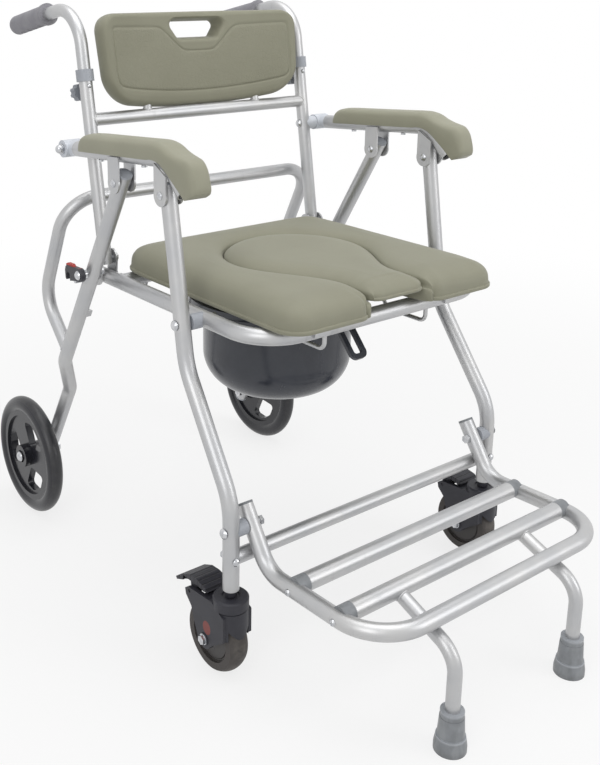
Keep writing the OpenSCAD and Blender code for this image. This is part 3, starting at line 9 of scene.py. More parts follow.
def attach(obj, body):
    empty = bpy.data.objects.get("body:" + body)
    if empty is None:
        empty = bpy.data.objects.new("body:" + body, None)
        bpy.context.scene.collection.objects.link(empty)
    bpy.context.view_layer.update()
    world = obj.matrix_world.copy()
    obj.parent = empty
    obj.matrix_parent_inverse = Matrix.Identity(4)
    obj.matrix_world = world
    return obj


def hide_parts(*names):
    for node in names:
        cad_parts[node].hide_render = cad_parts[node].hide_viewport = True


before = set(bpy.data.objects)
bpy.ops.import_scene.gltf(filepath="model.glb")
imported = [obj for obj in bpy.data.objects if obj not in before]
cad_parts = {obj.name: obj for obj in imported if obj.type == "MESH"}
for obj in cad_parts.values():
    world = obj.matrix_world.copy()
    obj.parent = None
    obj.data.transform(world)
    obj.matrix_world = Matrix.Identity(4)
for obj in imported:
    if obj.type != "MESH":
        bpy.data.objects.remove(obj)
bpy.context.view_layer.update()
scene = bpy.context.scene
scene.view_settings.view_transform = "Standard"


# Shader writing

class Value:
    """A socket that takes part in sums; each operator adds one Math node."""

    def __init__(self, graph, socket):
        self.graph = graph
        self.socket = socket

    def _sum(self, operation, first, second=0.0):
        return self.graph.node("ShaderNodeMath", {"operation": operation}, {0: first, 1: second})

    def __add__(self, other):
        return self._sum("ADD", self, other)

    __radd__ = __add__

    def __sub__(self, other):
        return self._sum("SUBTRACT", self, other)

    def __rsub__(self, other):
        return self._sum("SUBTRACT", other, self)

    def __mul__(self, other):
        return self._sum("MULTIPLY", self, other)

    __rmul__ = __mul__

    def __truediv__(self, other):
        return self._sum("DIVIDE", self, other)

    def __pow__(self, other):
        return self._sum("POWER", self, other)

    def __abs__(self):
        return self._sum("ABSOLUTE", self)

    def most(self, other):
        return self._sum("MAXIMUM", self, other)

    def rise(self, low, high):
        """0 below low, 1 above high, smooth between."""
        return self.graph.node("ShaderNodeMapRange", {"interpolation_type": "SMOOTHSTEP"},
                               {"Value": self, "From Min": low, "From Max": high})


class Graph:
    """A node tree; one method adds any node."""

    def __init__(self, tree):
        self.tree = tree

    def node(self, kind, settings=None, sockets=None, out=0):
        """Adds a node, sets it up, fills or links its sockets, and gives one of its outputs."""
        made = self.tree.nodes.new(kind)
        for key, value in (settings or {}).items():
            setattr(made, key, value)
        for key, value in (sockets or {}).items():
            if isinstance(value, Value):
                self.tree.links.new(value.socket, made.inputs[key])
            else:
                made.inputs[key].default_value = value
        return Value(self, made.outputs[out])


class Paint(Graph):
    """One material: its Principled shader and the nodes that feed it."""

    def __init__(self, name, **fixed):
        self.material = bpy.data.materials.new(name)
        self.material.use_nodes = True
        super().__init__(self.material.node_tree)
        self.shader = self.tree.nodes["Principled BSDF"]
        for word, value in fixed.items():
            self.port(word).default_value = value
        self.place = self.node("ShaderNodeTexCoord", out="Object")

    def port(self, word):
        """The shader's socket for a word such as base_color."""
        return self.shader.inputs[word.replace("_", " ").title().replace("Ior", "IOR")]

    def axes(self, centre=(0, 0, 0)):
        """Object coordinates measured from a centre, as three values."""
        at = self.node("ShaderNodeMapping", {"vector_type": "TEXTURE"},
                       {"Vector": self.place, "Location": centre})
        parts = self.node("ShaderNodeSeparateXYZ", None, {0: at})
        return [Value(self, socket) for socket in parts.socket.node.outputs]

    def spots(self, scale, detail=2.0, rough=0.5, stretch=(1, 1, 1)):
        """Soft noise; scale is spots to the metre."""
        at = self.node("ShaderNodeMapping", None, {"Vector": self.place, "Scale": stretch})
        return self.node("ShaderNodeTexNoise", None,
                         {"Vector": at, "Scale": scale, "Detail": detail, "Roughness": rough})

    def cells(self, scale, feature):
        """Distances in a pattern of cells; scale is cells to the metre."""
        return self.node("ShaderNodeTexVoronoi", {"feature": feature},
                         {"Vector": self.place, "Scale": scale}, "Distance")

    def mark(self, name):
        """A number that the mesh carries on its points."""
        return self.node("ShaderNodeAttribute", {"attribute_name": name}, None, "Fac")

    def blend(self, share, first, second):
        """A share of the second colour over the first; 6 and 7 are the node's colour sockets."""
        return self.node("ShaderNodeMix", {"data_type": "RGBA"}, {0: share, 6: first, 7: second}, 2)

    def bump(self, height, depth, strength, under=None):
        """A normal for a height pattern that is depth metres deep, over another bump if given."""
        sockets = {"Height": height, "Distance": depth, "Strength": strength}
        if under:
            sockets["Normal"] = under
        return self.node("ShaderNodeBump", None, sockets)

    def feed(self, **links):
        """Links values to the shader's sockets and hands over the material."""
        for word, value in links.items():
            self.tree.links.new(value.socket, self.port(word))
        return self.material


def shade(red, green, blue, lift=0):
    """A colour given as seen on screen, 0 to 255; lift makes it paler."""
    def linear(part):
        part = (part + lift) / 255
        return part / 12.92 if part <= 0.04045 else ((part + 0.055) / 1.055) ** 2.4
    return (linear(red), linear(green), linear(blue), 1.0)


# Finishes

def silver_tube():
    """Silver tube with fine flecks and hazed patches."""
    paint = Paint("silver_tube", metallic=0.72)
    fleck = paint.spots(3200, 1)
    cloud = paint.spots(14, 3, 0.6)
    rub = paint.spots(90, 4, 0.7, (1, 1, 0.12))
    hazed = rub.rise(0.56, 0.74)
    tone = paint.blend(cloud.rise(0.3, 0.7), shade(184, 185, 187), shade(193, 193, 193))
    tone = paint.blend(hazed * 0.3, tone, shade(171, 171, 173))
    rough = 0.32 + fleck * 0.08 + cloud * 0.05 + hazed * 0.08
    return paint.feed(base_color=tone, roughness=rough, normal=paint.bump(fleck, 0.00002, 0.3))


def plated_bolt():
    """Bright plated steel."""
    paint = Paint("plated_bolt", metallic=1.0)
    fleck = paint.spots(1800, 2)
    cloud = paint.spots(160, 3)
    tone = paint.blend(cloud.rise(0.35, 0.7), shade(205, 206, 208), shade(176, 178, 182))
    rough = 0.16 + cloud * 0.14 + fleck * 0.06
    return paint.feed(base_color=tone, roughness=rough, normal=paint.bump(fleck, 0.00003, 0.4))


def grey_moulding(name, lift):
    """Grey plastic; lift makes it paler."""
    paint = Paint(name, specular_ior_level=0.4)
    fleck = paint.spots(2600, 2)
    cloud = paint.spots(40, 3)
    tone = paint.blend(cloud.rise(0.3, 0.7), shade(142, 146, 153, lift), shade(152, 156, 163, lift))
    rough = 0.42 + fleck * 0.12 + cloud * 0.06
    return paint.feed(base_color=tone, roughness=rough, normal=paint.bump(fleck, 0.00006, 0.5))


def grip_rubber():
    """Grey grip, paler where hands rub it."""
    paint = Paint("grip_rubber", specular_ior_level=0.35)
    fleck = paint.spots(2400, 3, 0.6)
    cloud = paint.spots(50, 3)
    worn = paint.spots(120, 4, 0.65).rise(0.55, 0.75)
    tone = paint.blend(cloud.rise(0.3, 0.7), shade(140, 139, 145), shade(150, 149, 154))
    tone = paint.blend(worn * 0.3, tone, shade(162, 161, 165))
    return paint.feed(base_color=tone, roughness=0.58 + fleck * 0.16, normal=paint.bump(fleck, 0.00012, 0.6))


# Rims of the prop tips that catch the light: height and half width of the ledge's and the top's, in metres
TIP_RIMS = ((0.0195, 0.0022), (0.0535, 0.003))


def tip_rubber():
    """Grey prop tip with pale streaks, painted shade towards the floor and painted highlights on its rims."""
    paint = Paint("tip_rubber", specular_ior_level=0.35)
    _, _, z = paint.axes()
    fleck = paint.spots(2000, 3, 0.6)
    cloud = paint.spots(60, 3)
    low = 1 - z.rise(0.0, 0.012)
    streak = paint.spots(70, 3, 0.6, (1, 1, 0.3)).rise(0.42, 0.62)
    ledge_highlight, top = [1 - abs(z - level) / half for level, half in TIP_RIMS]
    tone = paint.blend(cloud.rise(0.3, 0.7), shade(128, 131, 134), shade(142, 145, 149))
    # Painted shade: darker towards the floor
    tone = paint.blend(low * 0.5, tone, shade(112, 113, 114))
    tone = paint.blend(streak * (1 - z.rise(0.05, 0.06)) * 0.35, tone, shade(164, 167, 170))
    # Painted highlights on the ledge and the top rim
    tone = paint.blend(ledge_highlight.most(top).most(0.0) * 0.7, tone, shade(184, 188, 194))
    return paint.feed(base_color=tone, roughness=0.34 + fleck * 0.16, normal=paint.bump(fleck, 0.0001, 0.5))


def olive_skin(name, pebble, lift):
    """Moulded foam skin, with painted shade in the panel's creases; pebble is the grain of the marked panel,
    lift makes it paler.
    """
    paint = Paint(name, specular_ior_level=0.32, sheen_weight=0.12, sheen_roughness=0.5)
    panel = paint.mark("panel")
    cloud = paint.spots(11, 3, 0.55)
    pore = paint.cells(900, "F1")
    crease = paint.cells(150, "DISTANCE_TO_EDGE")
    fine = paint.spots(1500, 3, 0.6)
    hide = paint.spots(170, 4, 0.62)
    tone = paint.blend(cloud.rise(0.25, 0.75), shade(150, 149, 131, lift), shade(157, 156, 138, lift))
    tone = paint.blend(fine.rise(0.35, 0.7) * 0.35, tone, shade(143, 142, 125, lift))
    # Painted shade in the panel's creases
    tone = paint.blend((1 - crease.rise(0.0, 0.06)) * panel * 0.14, tone, shade(122, 121, 104))
    rough = 0.5 + fine * 0.14 + cloud * 0.06
    skin = paint.bump(pore * 0.4 + fine * 0.5, 0.00014, 0.45)
    grain = (crease.rise(0.0, 0.1) * 0.35 + hide) * (panel * pebble + 0.06)
    return paint.feed(base_color=tone, roughness=rough, normal=paint.bump(grain, 0.0011, 0.6, skin))


def pan_black():
    """Glossy black plastic, duller where it is rubbed."""
    paint = Paint("pan_black", specular_ior_level=0.5)
    fine = paint.spots(1400, 2)
    cloud = paint.spots(22, 3)
    rub = paint.spots(70, 4, 0.7, (1, 1, 0.2)).rise(0.56, 0.74)
    tone = paint.blend(cloud.rise(0.3, 0.7), shade(50, 53, 61), shade(58, 61, 69))
    rough = 0.16 + cloud * 0.08 + rub * 0.14
    return paint.feed(base_color=tone, roughness=rough, normal=paint.bump(fine, 0.00005, 0.35))


# Grip lines across the pedals: pitch and depth in metres, and the share of painted shade in them
RIB_PITCH, RIB_DEPTH, RIB_SHADE = 0.0085, 0.0009, 0.81
# A wave pattern of scale 1 repeats every 2 pi / 20
RIB_SCALE = 2 * math.pi / 20 / RIB_PITCH
# Button on each fork's side: y, z and radius, and the weight of z that makes it an upright oval
DOT_Y, DOT_Z, DOT_R, DOT_WEIGHT = -0.1684, 0.0693, 0.0084, 0.72


def black_moulding(name, dot=None, ribbed=False):
    """Satin black plastic, with a button of another tone on its side faces or with grip lines darkened by
    painted shade.
    """
    paint = Paint(name, specular_ior_level=0.4)
    fine = paint.spots(1900, 2)
    cloud = paint.spots(30, 3)
    rub = paint.spots(140, 4, 0.7).rise(0.58, 0.76)
    tone = paint.blend(cloud.rise(0.3, 0.7), shade(42, 42, 49), shade(50, 50, 57))
    tone = paint.blend(rub * 0.25, tone, shade(70, 70, 76))
    normal = paint.bump(fine, 0.0001, 0.5)
    if dot:
        _, y, z = paint.axes((0, DOT_Y, DOT_Z))
        reach = (y * y + z * z * DOT_WEIGHT) ** 0.5
        tone = paint.blend(1 - reach.rise(DOT_R - 0.0004, DOT_R), tone, dot)
    if ribbed:
        wave = paint.node("ShaderNodeTexWave", {"bands_direction": "Y"},
                          {"Vector": paint.place, "Scale": RIB_SCALE}, "Fac")
        line = wave.rise(0.0, 0.16)
        # Painted shade in the grip lines
        tone = paint.blend((1 - line) * RIB_SHADE, tone, shade(26, 26, 30))
        normal = paint.bump(line, RIB_DEPTH, 1.0, normal)
    return paint.feed(base_color=tone, roughness=0.4 + fine * 0.14 + cloud * 0.06, normal=normal)


# Middle of the latch hook, and the height of its red tab's edge over it with the edge's slope along y
LATCH_AT, TAB_LEVEL, TAB_SLOPE = (0, 0.15, 0.471), 0.01, 0.05


def latch_plastic():
    """Black hook with a red thumb tab along its top."""
    paint = Paint("latch_plastic", specular_ior_level=0.45)
    _, y, z = paint.axes(LATCH_AT)
    fine = paint.spots(1900, 2)
    cloud = paint.spots(120, 3)
    tab = (z + y * TAB_SLOPE).rise(TAB_LEVEL - 0.0002, TAB_LEVEL + 0.0002)
    tone = paint.blend(cloud.rise(0.3, 0.7), shade(46, 46, 52), shade(56, 56, 62))
    tone = paint.blend(tab, tone, paint.blend(cloud.rise(0.3, 0.7), shade(176, 52, 44), shade(196, 62, 50)))
    return paint.feed(base_color=tone, roughness=0.4 + fine * 0.14, normal=paint.bump(fine, 0.0001, 0.5))


# Axles of the wheels: y and z, in metres
CASTER_AXLE, REAR_AXLE = (-0.163, 0.05), (0.37, 0.1)


def caster_wheel_paint():
    """Dark hub, browner tyre, dusty tread."""
    paint = Paint("caster_wheel", specular_ior_level=0.4)
    _, y, z = paint.axes((0, *CASTER_AXLE))
    radius = (y * y + z * z) ** 0.5
    fine = paint.spots(1700, 3, 0.6)
    dust = paint.spots(75, 4, 0.65)
    tyre = radius.rise(0.0335, 0.0345)
    tread = radius.rise(0.044, 0.0495)
    tone = paint.blend(tyre, shade(58, 55, 54), shade(72, 68, 66))
    tone = paint.blend(tread * dust.rise(0.35, 0.7) * 0.55, tone, shade(108, 103, 97))
    rough = 0.36 + tyre * 0.22 + fine * 0.12
    return paint.feed(base_color=tone, roughness=rough, normal=paint.bump(fine, 0.00012, 0.5))


def rear_wheel_paint():
    """Glossy black with a dusty tread."""
    paint = Paint("rear_wheel", specular_ior_level=0.5)
    _, y, z = paint.axes((0, *REAR_AXLE))
    radius = (y * y + z * z) ** 0.5
    fine = paint.spots(1700, 3, 0.6)
    cloud = paint.spots(40, 3)
    tread = radius.rise(0.094, 0.097)
    dust = paint.spots(70, 4, 0.65).rise(0.4, 0.72)
    tone = paint.blend(cloud.rise(0.3, 0.7), shade(28, 29, 35), shade(36, 37, 43))
    tone = paint.blend(tread * (0.14 + dust * 0.22), tone, shade(74, 73, 71))
    rough = 0.15 + cloud * 0.09 + fine * 0.05 + tread * 0.12
    return paint.feed(base_color=tone, roughness=rough, normal=paint.bump(fine, 0.00007, 0.4))


tube, bolt = silver_tube(), plated_bolt()
seat_skin = olive_skin("olive_seat", 0.0, -11)
back_skin = olive_skin("olive_back", 0.7, -13)
# The arm copy of the skin is set paler than the seat and backrest ones: painted light on the arm pads
arm_skin_painted_paler = olive_skin("olive_arms", 0.0, 2)

finishes = {
    tube: ("seat_frame", "pan_rails", "back_frame", "backrest_stubs", "push_handle_r", "push_handle_l",
           "arm_tubes", "front_leg_r", "front_leg_l", "front_cross_bar", "rear_legs", "rear_hoop",
           "footrest_frame", "footrest_slats", "arm_brackets", "back_brackets", "pad_clips"),
    bolt: ("seat_bolts", "back_bolts", "stop_pins", "arm_hinge_bolts", "handle_button_r", "handle_button_l",
           "arm_pins", "arm_screws", "cross_bar_bolts", "footrest_bolts", "caster_axles_r", "caster_axles_l",
           "rear_axles"),
    grey_moulding("grey_moulding", 20): ("rail_plugs", "seat_spacers", "post_collars", "footrest_spacers",
                                         "front_leg_plugs", "rear_leg_plugs"),
    grey_moulding("pale_moulding", 62): ("arm_knuckles", "arm_spacers"),
    grey_moulding("knob_grey", -4): ("handle_knob_r", "handle_knob_l"),
    grip_rubber(): ("grip_r", "grip_l"),
    tip_rubber(): ("foot_tips",),
    pan_black(): ("commode_pan", "pan_handle"),
    black_moulding("black_moulding"): ("caster_stems",),
    black_moulding("pedal_black", ribbed=True): ("brake_pedal_r", "brake_pedal_l"),
    black_moulding("fork_black", dot=shade(124, 62, 57)): ("caster_fork_r", "caster_fork_l"),
    latch_plastic(): ("latch_hook",),
    caster_wheel_paint(): ("caster_wheel_r", "caster_wheel_l"),
    rear_wheel_paint(): ("rear_wheel_r", "rear_wheel_l"),
}
for finish, names in finishes.items():
    for name in names:
        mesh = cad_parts[name].data
        mesh.materials.clear()
        mesh.materials.append(finish)


# Mesh helpers; sizes are in millimetres until a piece is made

# Way from the places used here to the part's own
SHIFT = np.array([0.0, -1.0, 0.0])


def metres(places):
    """Places in millimetres as the part's own, in metres."""
    return (np.asarray(places, float) + SHIFT) / 1000


def flow(points, count):
    """Evenly stepped points on a smooth curve through the given ones."""
    points = np.asarray(points, float)
    spans = len(points) - 1
    t = np.linspace(0, spans, count)
    i = np.minimum(t.astype(int), spans - 1)
    f = (t - i).reshape((-1,) + (1,) * (points.ndim - 1))
    a, b, c, d = [points[np.clip(i + k, 0, spans)] for k in (-1, 0, 1, 2)]
    bent = (c - a) * f + (2 * a - 5 * b + 4 * c - d) * f ** 2 + (3 * b - a - 3 * c + d) * f ** 3
    return 0.5 * (2 * b + bent)


def ease(t):
    """0 below 0, 1 above 1, smooth between."""
    t = np.clip(t, 0, 1)
    return t * t * (3 - 2 * t)


def piece(name, mesh, body, finish):
    """A finished piece at the origin, riding on a body."""
    mesh.materials.clear()
    mesh.materials.append(finish)
    made = bpy.data.objects.new(name, mesh)
    scene.collection.objects.link(made)
    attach(made, body)
    return made


def bridge(shell, one, two):
    """Faces between two loops of equal length."""
    count = len(one)
    for k in range(count):
        n = (k + 1) % count
        shell.faces.new((one[k], one[n], two[n], two[k]))


def smooth_mesh(shell, name):
    """The shell as a smooth mesh whose faces point outwards."""
    bmesh.ops.recalc_face_normals(shell, faces=shell.faces)
    for face in shell.faces:
        face.smooth = True
    mesh = bpy.data.meshes.new(name)
    shell.to_mesh(mesh)
    shell.free()
    return mesh


def loft(name, rings, closed=False):
    """A closed skin over rings of equal length; it has end caps unless its last ring meets its first."""
    shell = bmesh.new()
    loops = [[shell.verts.new(point) for point in ring] for ring in metres(rings)]
    for one, two in zip(loops, loops[1:] + loops[:1] if closed else loops[1:]):
        bridge(shell, one, two)
    if not closed:
        for ring in (loops[0], loops[-1]):
            middle = shell.verts.new(sum((v.co for v in ring), Vector()) / len(ring))
            for one, two in zip(ring, ring[1:] + ring[:1]):
                shell.faces.new((one, two, middle))
    return smooth_mesh(shell, name)


# Seat pad and insert: skins whose height follows the distance to their edge

# Pad: height of its underside, half width, front and back ends, and how far its lip stands out
PAD_LOW, PAD_HALF, PAD_FRONT, PAD_BACK, LIP = 468.0, 191.0, -236.0, 164.0, 2.2
# Pad's corners: radii of the horns outside and inside, and how square the rear corners are
OUTER_R, INNER_R, REAR_POWER = 32.0, 20.0, 10
# Opening: half width, reach behind its middle, the middle, and where its neck becomes the slot
HOLE_HALF, HOLE_REAR, HOLE_Y, NECK_Y = 109.0, 116.0, -28.0, -183.0
# Slot: half width, how much each side flares out at the front, and over what length
SLOT_HALF, SLOT_FLARE, FLARE_LEN = 50.0, 7.0, 60.0
# Insert: gap round it, its front end, its tongue's corner radius, and the angle that its rear end starts at
INSERT_GAP, INSERT_FRONT, TONGUE_R, REAR_TURN = 1.4, -227.0, 18.0, math.radians(52)
# Front edges roll in further: by what share, and over what length
FRONT_ROLL, FRONT_LEN = 0.5, 70.0
# Valley between two rises: its roundness, and the height over the rim at which it is full
VALLEY_R, VALLEY_RISE = 2.4, 12.0
# Angles on the front corners: inner start, straight ahead, outer end
HORN_START, AHEAD, HORN_END = 232, 270, 315
# The inner corner's middle lies further out by a share of the flare
FLARE_SHARE = 0.2
# Grid rows along the horns and round the rear, along the tongue and to the insert's rear end; columns across
HORN_ROWS, REAR_ROWS, TONGUE_ROWS, INSERT_ROWS, SKIN_COLUMNS = 64, 44, 70, 36, 72
RISE_STEPS = 400
# Rises: distance in from an edge, and height over the underside
SIDE_RISE = flow([(0, 5.6), (0.4, 12), (1.2, 17.5), (3.2, 23), (6.6, 27.6), (11.5, 31.4), (18, 34.6),
                  (27, 37.2), (39, 39.2), (56, 40), (120, 40)], RISE_STEPS)
HOLE_RISE = flow([(0, 24), (0.7, 27.5), (2.7, 30.5), (7, 33.4), (13, 36), (21, 38), (32, 39.4), (46, 40),
                  (120, 40)], RISE_STEPS)
INSERT_RISE = flow([(0, 25.5), (1, 27.8), (3.5, 30.4), (8, 33.6), (14, 36.6), (22, 39), (32, 40.6),
                    (45, 41.3), (120, 41.5)], RISE_STEPS)
TONGUE_RISE = flow([(0, 22.2), (0.5, 24.5), (2, 27), (6, 30.5), (12, 34), (20, 37), (31, 39.4), (45, 41),
                    (240, 41.5)], RISE_STEPS)
# Walls under an edge: distance out from it, and height over the underside
PAD_RIM = [(0, 5.6), (0.2, 5.35), (0.9, 5.1), (1.7, 4.85), (LIP, 4.2), (LIP, 2.5), (LIP, 0.9), (1.4, 0)]
PAD_LEDGE = [(0, 24), (0.15, 22), (0.15, 17.6), (1, 17.3), (6.6, 17), (7, 16.2), (7, 0.9), (6.2, 0)]
TONGUE_RIM = [(0, 22.2), (0.3, 21.9), (1.1, 21.6), (1.6, 21), (1.6, 18.6), (0.7, 17.6)]
INSERT_WALL = [(0, 25.5), (0, 24), (0, 22), (0, 20.5), (0, 18.6), (-0.9, 17.6)]


def height(rise, distance):
    """Height of a rise at a distance from its edge."""
    return np.interp(distance, rise[:, 0], rise[:, 1])


def nearest(points, outline):
    """Distance of each point to an open run of segments."""
    start, span = outline[:-1], np.diff(outline, axis=0)
    length = np.maximum((span ** 2).sum(axis=1), 1e-12)
    rows = []
    for row in points:
        away = row[:, None, :] - start
        share = np.clip((away * span).sum(axis=2) / length, 0, 1)
        rows.append(np.sqrt(((away - share[..., None] * span) ** 2).sum(axis=2).min(axis=1)))
    return np.array(rows)


def meet(one, two, floor):
    """The lower of two heights, with a soft valley well above the floor."""
    low = np.minimum(one, two)
    soft = 1e-3 + VALLEY_R * np.clip((low - floor) / VALLEY_RISE, 0, 1)
    return low - soft * np.log1p(np.exp(-np.abs(one - two) / soft))


def spread(count):
    """Shares from 0 to 1, close together at both ends."""
    return (1 - np.cos(np.linspace(0, math.pi, count))) / 2


def arc(centre, r, start, end, count):
    """Points of an arc; its angles are in degrees."""
    turns = np.radians(np.linspace(start, end, count))
    return np.array(centre) + r * np.column_stack((np.cos(turns), np.sin(turns)))


def along(run, shares):
    """Points of a run of segments at shares of its length."""
    run = np.asarray(run, float)
    reach = np.concatenate(([0], np.cumsum(np.linalg.norm(np.diff(run, axis=0), axis=1))))
    return np.column_stack([np.interp(shares * reach[-1], reach, run[:, k]) for k in (0, 1)])


def patch(first, last, start, end, fade):
    """Grid between two long edges, bowed near its ends to meet the two short ones."""
    shares = spread(len(start))[None, :, None]
    grid = first[:, None, :] * (1 - shares) + last[:, None, :] * shares
    bow = [edge - (ends[0] + (ends[1] - ends[0]) * shares[0])
           for edge, ends in ((start, (first[0], last[0])), (end, (first[-1], last[-1])))]
    return grid + fade[:, None, None] * bow[0] + fade[::-1][:, None, None] * bow[1]


def around(grid):
    """The border of a grid as one loop."""
    return np.concatenate((grid[0], grid[1:, -1], grid[-1, -2::-1], grid[-2:0:-1, 0]))


def moulded(name, grid, tops, rim, wall):
    """Closed skin: the grid at its heights, a wall down from its border, and a flat underside.

    The wall is the rim where the border is low and the wall profile where it is high.
    """
    loop, lip = around(grid), around(tops)
    ahead = np.roll(loop, -1, axis=0) - np.roll(loop, 1, axis=0)
    out = np.column_stack((ahead[:, 1], -ahead[:, 0])) / np.linalg.norm(ahead, axis=1)[:, None]
    if np.cross(loop, np.roll(loop, -1, axis=0)).sum() < 0:
        out = -out
    rim, wall = np.array(rim), np.array(wall)
    share = np.clip((lip - rim[0, 1]) / (wall[0, 1] - rim[0, 1]), 0, 1)[:, None]
    offsets, levels = [rim[:, k] + (wall[:, k] - rim[:, k]) * share for k in (0, 1)]
    levels[:, 0] = lip
    rings = [np.column_stack((loop + out * offsets[:, [k]], levels[:, k])) for k in range(len(rim))]
    rows, columns = tops.shape
    under = np.dstack((grid, np.full_like(tops, rim[-1, 1])))
    number = np.arange(rows * columns).reshape(rows, columns)
    border = around(number[..., None])[:, 0]
    under.reshape(-1, 3)[border] = rings[-1]
    shell = bmesh.new()
    sides = [[shell.verts.new(point) for point in side.reshape(-1, 3)]
             for side in (np.dstack((grid, tops)), under)]
    for side in sides:
        for a, b in np.ndindex(rows - 1, columns - 1):
            corners = number[a, b], number[a, b + 1], number[a + 1, b + 1], number[a + 1, b]
            shell.faces.new([side[k] for k in corners])
    top_edge, low_edge = [[side[k] for k in border] for side in sides]
    loops = [top_edge, *[[shell.verts.new(point) for point in ring] for ring in rings[1:-1]], low_edge]
    for one, two in zip(loops, loops[1:]):
        bridge(shell, one, two)
    for vert in shell.verts:
        vert.co = (Vector(SHIFT) + vert.co + Vector((0, 0, PAD_LOW))) / 1000
    return smooth_mesh(shell, name)


def opening_half(y, gap=0.0):
    """Half width of the round opening, its neck and the slot."""
    if y > HOLE_Y:
        return (HOLE_HALF - gap) * math.sqrt(max(0.0, 1 - ((y - HOLE_Y) / (HOLE_REAR - gap)) ** 2))
    neck = (1 + math.cos(math.pi * min(1.0, (HOLE_Y - y) / (HOLE_Y - NECK_Y)))) / 2
    return SLOT_HALF - gap + (HOLE_HALF - SLOT_HALF) * neck


def slot_edge(y):
    """Inner edge of a horn: the opening, flared and rounded at the front."""
    flare = SLOT_FLARE * ease((PAD_FRONT + FLARE_LEN - y) / FLARE_LEN)
    over = max(0.0, PAD_FRONT + LIP + INNER_R - y)
    return opening_half(y) + flare + INNER_R - math.sqrt(max(0.0, INNER_R ** 2 - over ** 2))


def side_edge(y):
    """Outer edge of a horn, rounded at the front."""
    over = max(0.0, PAD_FRONT + LIP + OUTER_R - y)
    return PAD_HALF - LIP - OUTER_R + math.sqrt(max(0.0, OUTER_R ** 2 - over ** 2))


def rear_edge(angle):
    """Point of the pad's rear half at an angle round the opening."""
    c, s = math.cos(angle), math.sin(angle)
    sides = ((PAD_HALF - LIP) / max(abs(c), 1e-4), (PAD_BACK - LIP - HOLE_Y) / max(s, 1e-4))
    reach = sum(side ** -REAR_POWER for side in sides) ** (-1 / REAR_POWER)
    return reach * c, HOLE_Y + reach * s


def seat_pad_skin():
    """Horseshoe pad: a grid from its inner edge to its outer one, from horn to horn."""
    corner = math.sin(math.pi / 4)
    steps = np.linspace(0, 1, HORN_ROWS) ** 2
    starts = [PAD_FRONT + LIP + r * (1 - corner) for r in (INNER_R, OUTER_R)]
    inner_y, outer_y = [start + (HOLE_Y - start) * steps for start in starts]
    turns = np.linspace(0, math.pi / 2, REAR_ROWS)[1:]
    inner = np.array([(slot_edge(y), y) for y in inner_y]
                     + [(HOLE_HALF * math.cos(a), HOLE_Y + HOLE_REAR * math.sin(a)) for a in turns])
    outer = np.array([(side_edge(y), y) for y in outer_y] + [rear_edge(a) for a in turns])
    inner_mid, outer_mid = PAD_FRONT + LIP + INNER_R, PAD_FRONT + LIP + OUTER_R
    inner_centre = (slot_edge(inner_mid) + INNER_R + SLOT_FLARE * FLARE_SHARE, inner_mid)
    outer_centre = (PAD_HALF - LIP - OUTER_R, outer_mid)
    nose = np.vstack((inner[:1], arc(inner_centre, INNER_R, HORN_START, AHEAD, 12),
                      arc(outer_centre, OUTER_R, AHEAD, HORN_END, 16)[:-1], outer[:1]))
    nose = along(nose, spread(SKIN_COLUMNS))
    mirror = np.array([-1, 1])
    inner, outer = [np.vstack((edge, edge[-2::-1] * mirror)) for edge in (inner, outer)]
    fade = np.zeros(len(inner))
    fade[:len(steps)] = (1 - steps) ** 2
    grid = patch(inner, outer, nose, nose * mirror, fade)
    border = np.vstack((nose, outer, nose[::-1] * mirror))
    roll = 1 + FRONT_ROLL * ease((PAD_FRONT + FRONT_LEN - grid[..., 1]) / FRONT_LEN)
    from_side = height(SIDE_RISE, nearest(grid, border) / roll)
    tops = meet(from_side, height(HOLE_RISE, nearest(grid, inner)), PAD_RIM[0][1])
    return moulded("seat_pad_skin", grid, tops, PAD_RIM, PAD_LEDGE)


def seat_insert_skin():
    """Keyhole insert: a grid from its left edge to its right one, from tongue to rear."""
    front = INSERT_FRONT + TONGUE_R * (1 - math.sin(math.pi / 4))

    def tongue_edge(y):
        over = max(0.0, INSERT_FRONT + TONGUE_R - y)
        return opening_half(y, INSERT_GAP) - TONGUE_R + math.sqrt(max(0.0, TONGUE_R ** 2 - over ** 2))

    wide, long = HOLE_HALF - INSERT_GAP, HOLE_REAR - INSERT_GAP
    rows = np.concatenate((front + (HOLE_Y - front) * np.linspace(0, 1, TONGUE_ROWS) ** 1.8,
                           HOLE_Y + long * np.sin(np.linspace(0, REAR_TURN, INSERT_ROWS)[1:])))
    right = np.array([(tongue_edge(y), y) for y in rows])
    left = right * (-1, 1)
    tip = (tongue_edge(INSERT_FRONT + TONGUE_R) - TONGUE_R, INSERT_FRONT + TONGUE_R)
    bend = arc(tip, TONGUE_R, AHEAD, HORN_END, 14)[:-1]
    start = along(np.vstack((left[:1], bend[::-1] * (-1, 1), bend, right[:1])), spread(SKIN_COLUMNS))
    turns = np.linspace(math.pi - REAR_TURN, REAR_TURN, 80)
    rear = np.column_stack((wide * np.cos(turns), HOLE_Y + long * np.sin(turns)))
    end = along(rear, spread(SKIN_COLUMNS))
    fade = (1 - np.linspace(0, 1, len(rows))) ** 2
    grid = patch(left, right, start, end, fade)
    border = np.vstack((right, end[::-1], left[::-1]))
    from_side = height(INSERT_RISE, nearest(grid, border))
    tops = meet(from_side, height(TONGUE_RISE, nearest(grid, start)), TONGUE_RIM[0][1])
    return moulded("seat_insert_skin", grid, tops, TONGUE_RIM, INSERT_WALL)


seat_pad = piece("seat_pad_skin", seat_pad_skin(), "seat", seat_skin)
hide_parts("seat_pad")
seat_insert = piece("seat_insert_skin", seat_insert_skin(), "insert", seat_skin)
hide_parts("seat_insert")


# Backrest

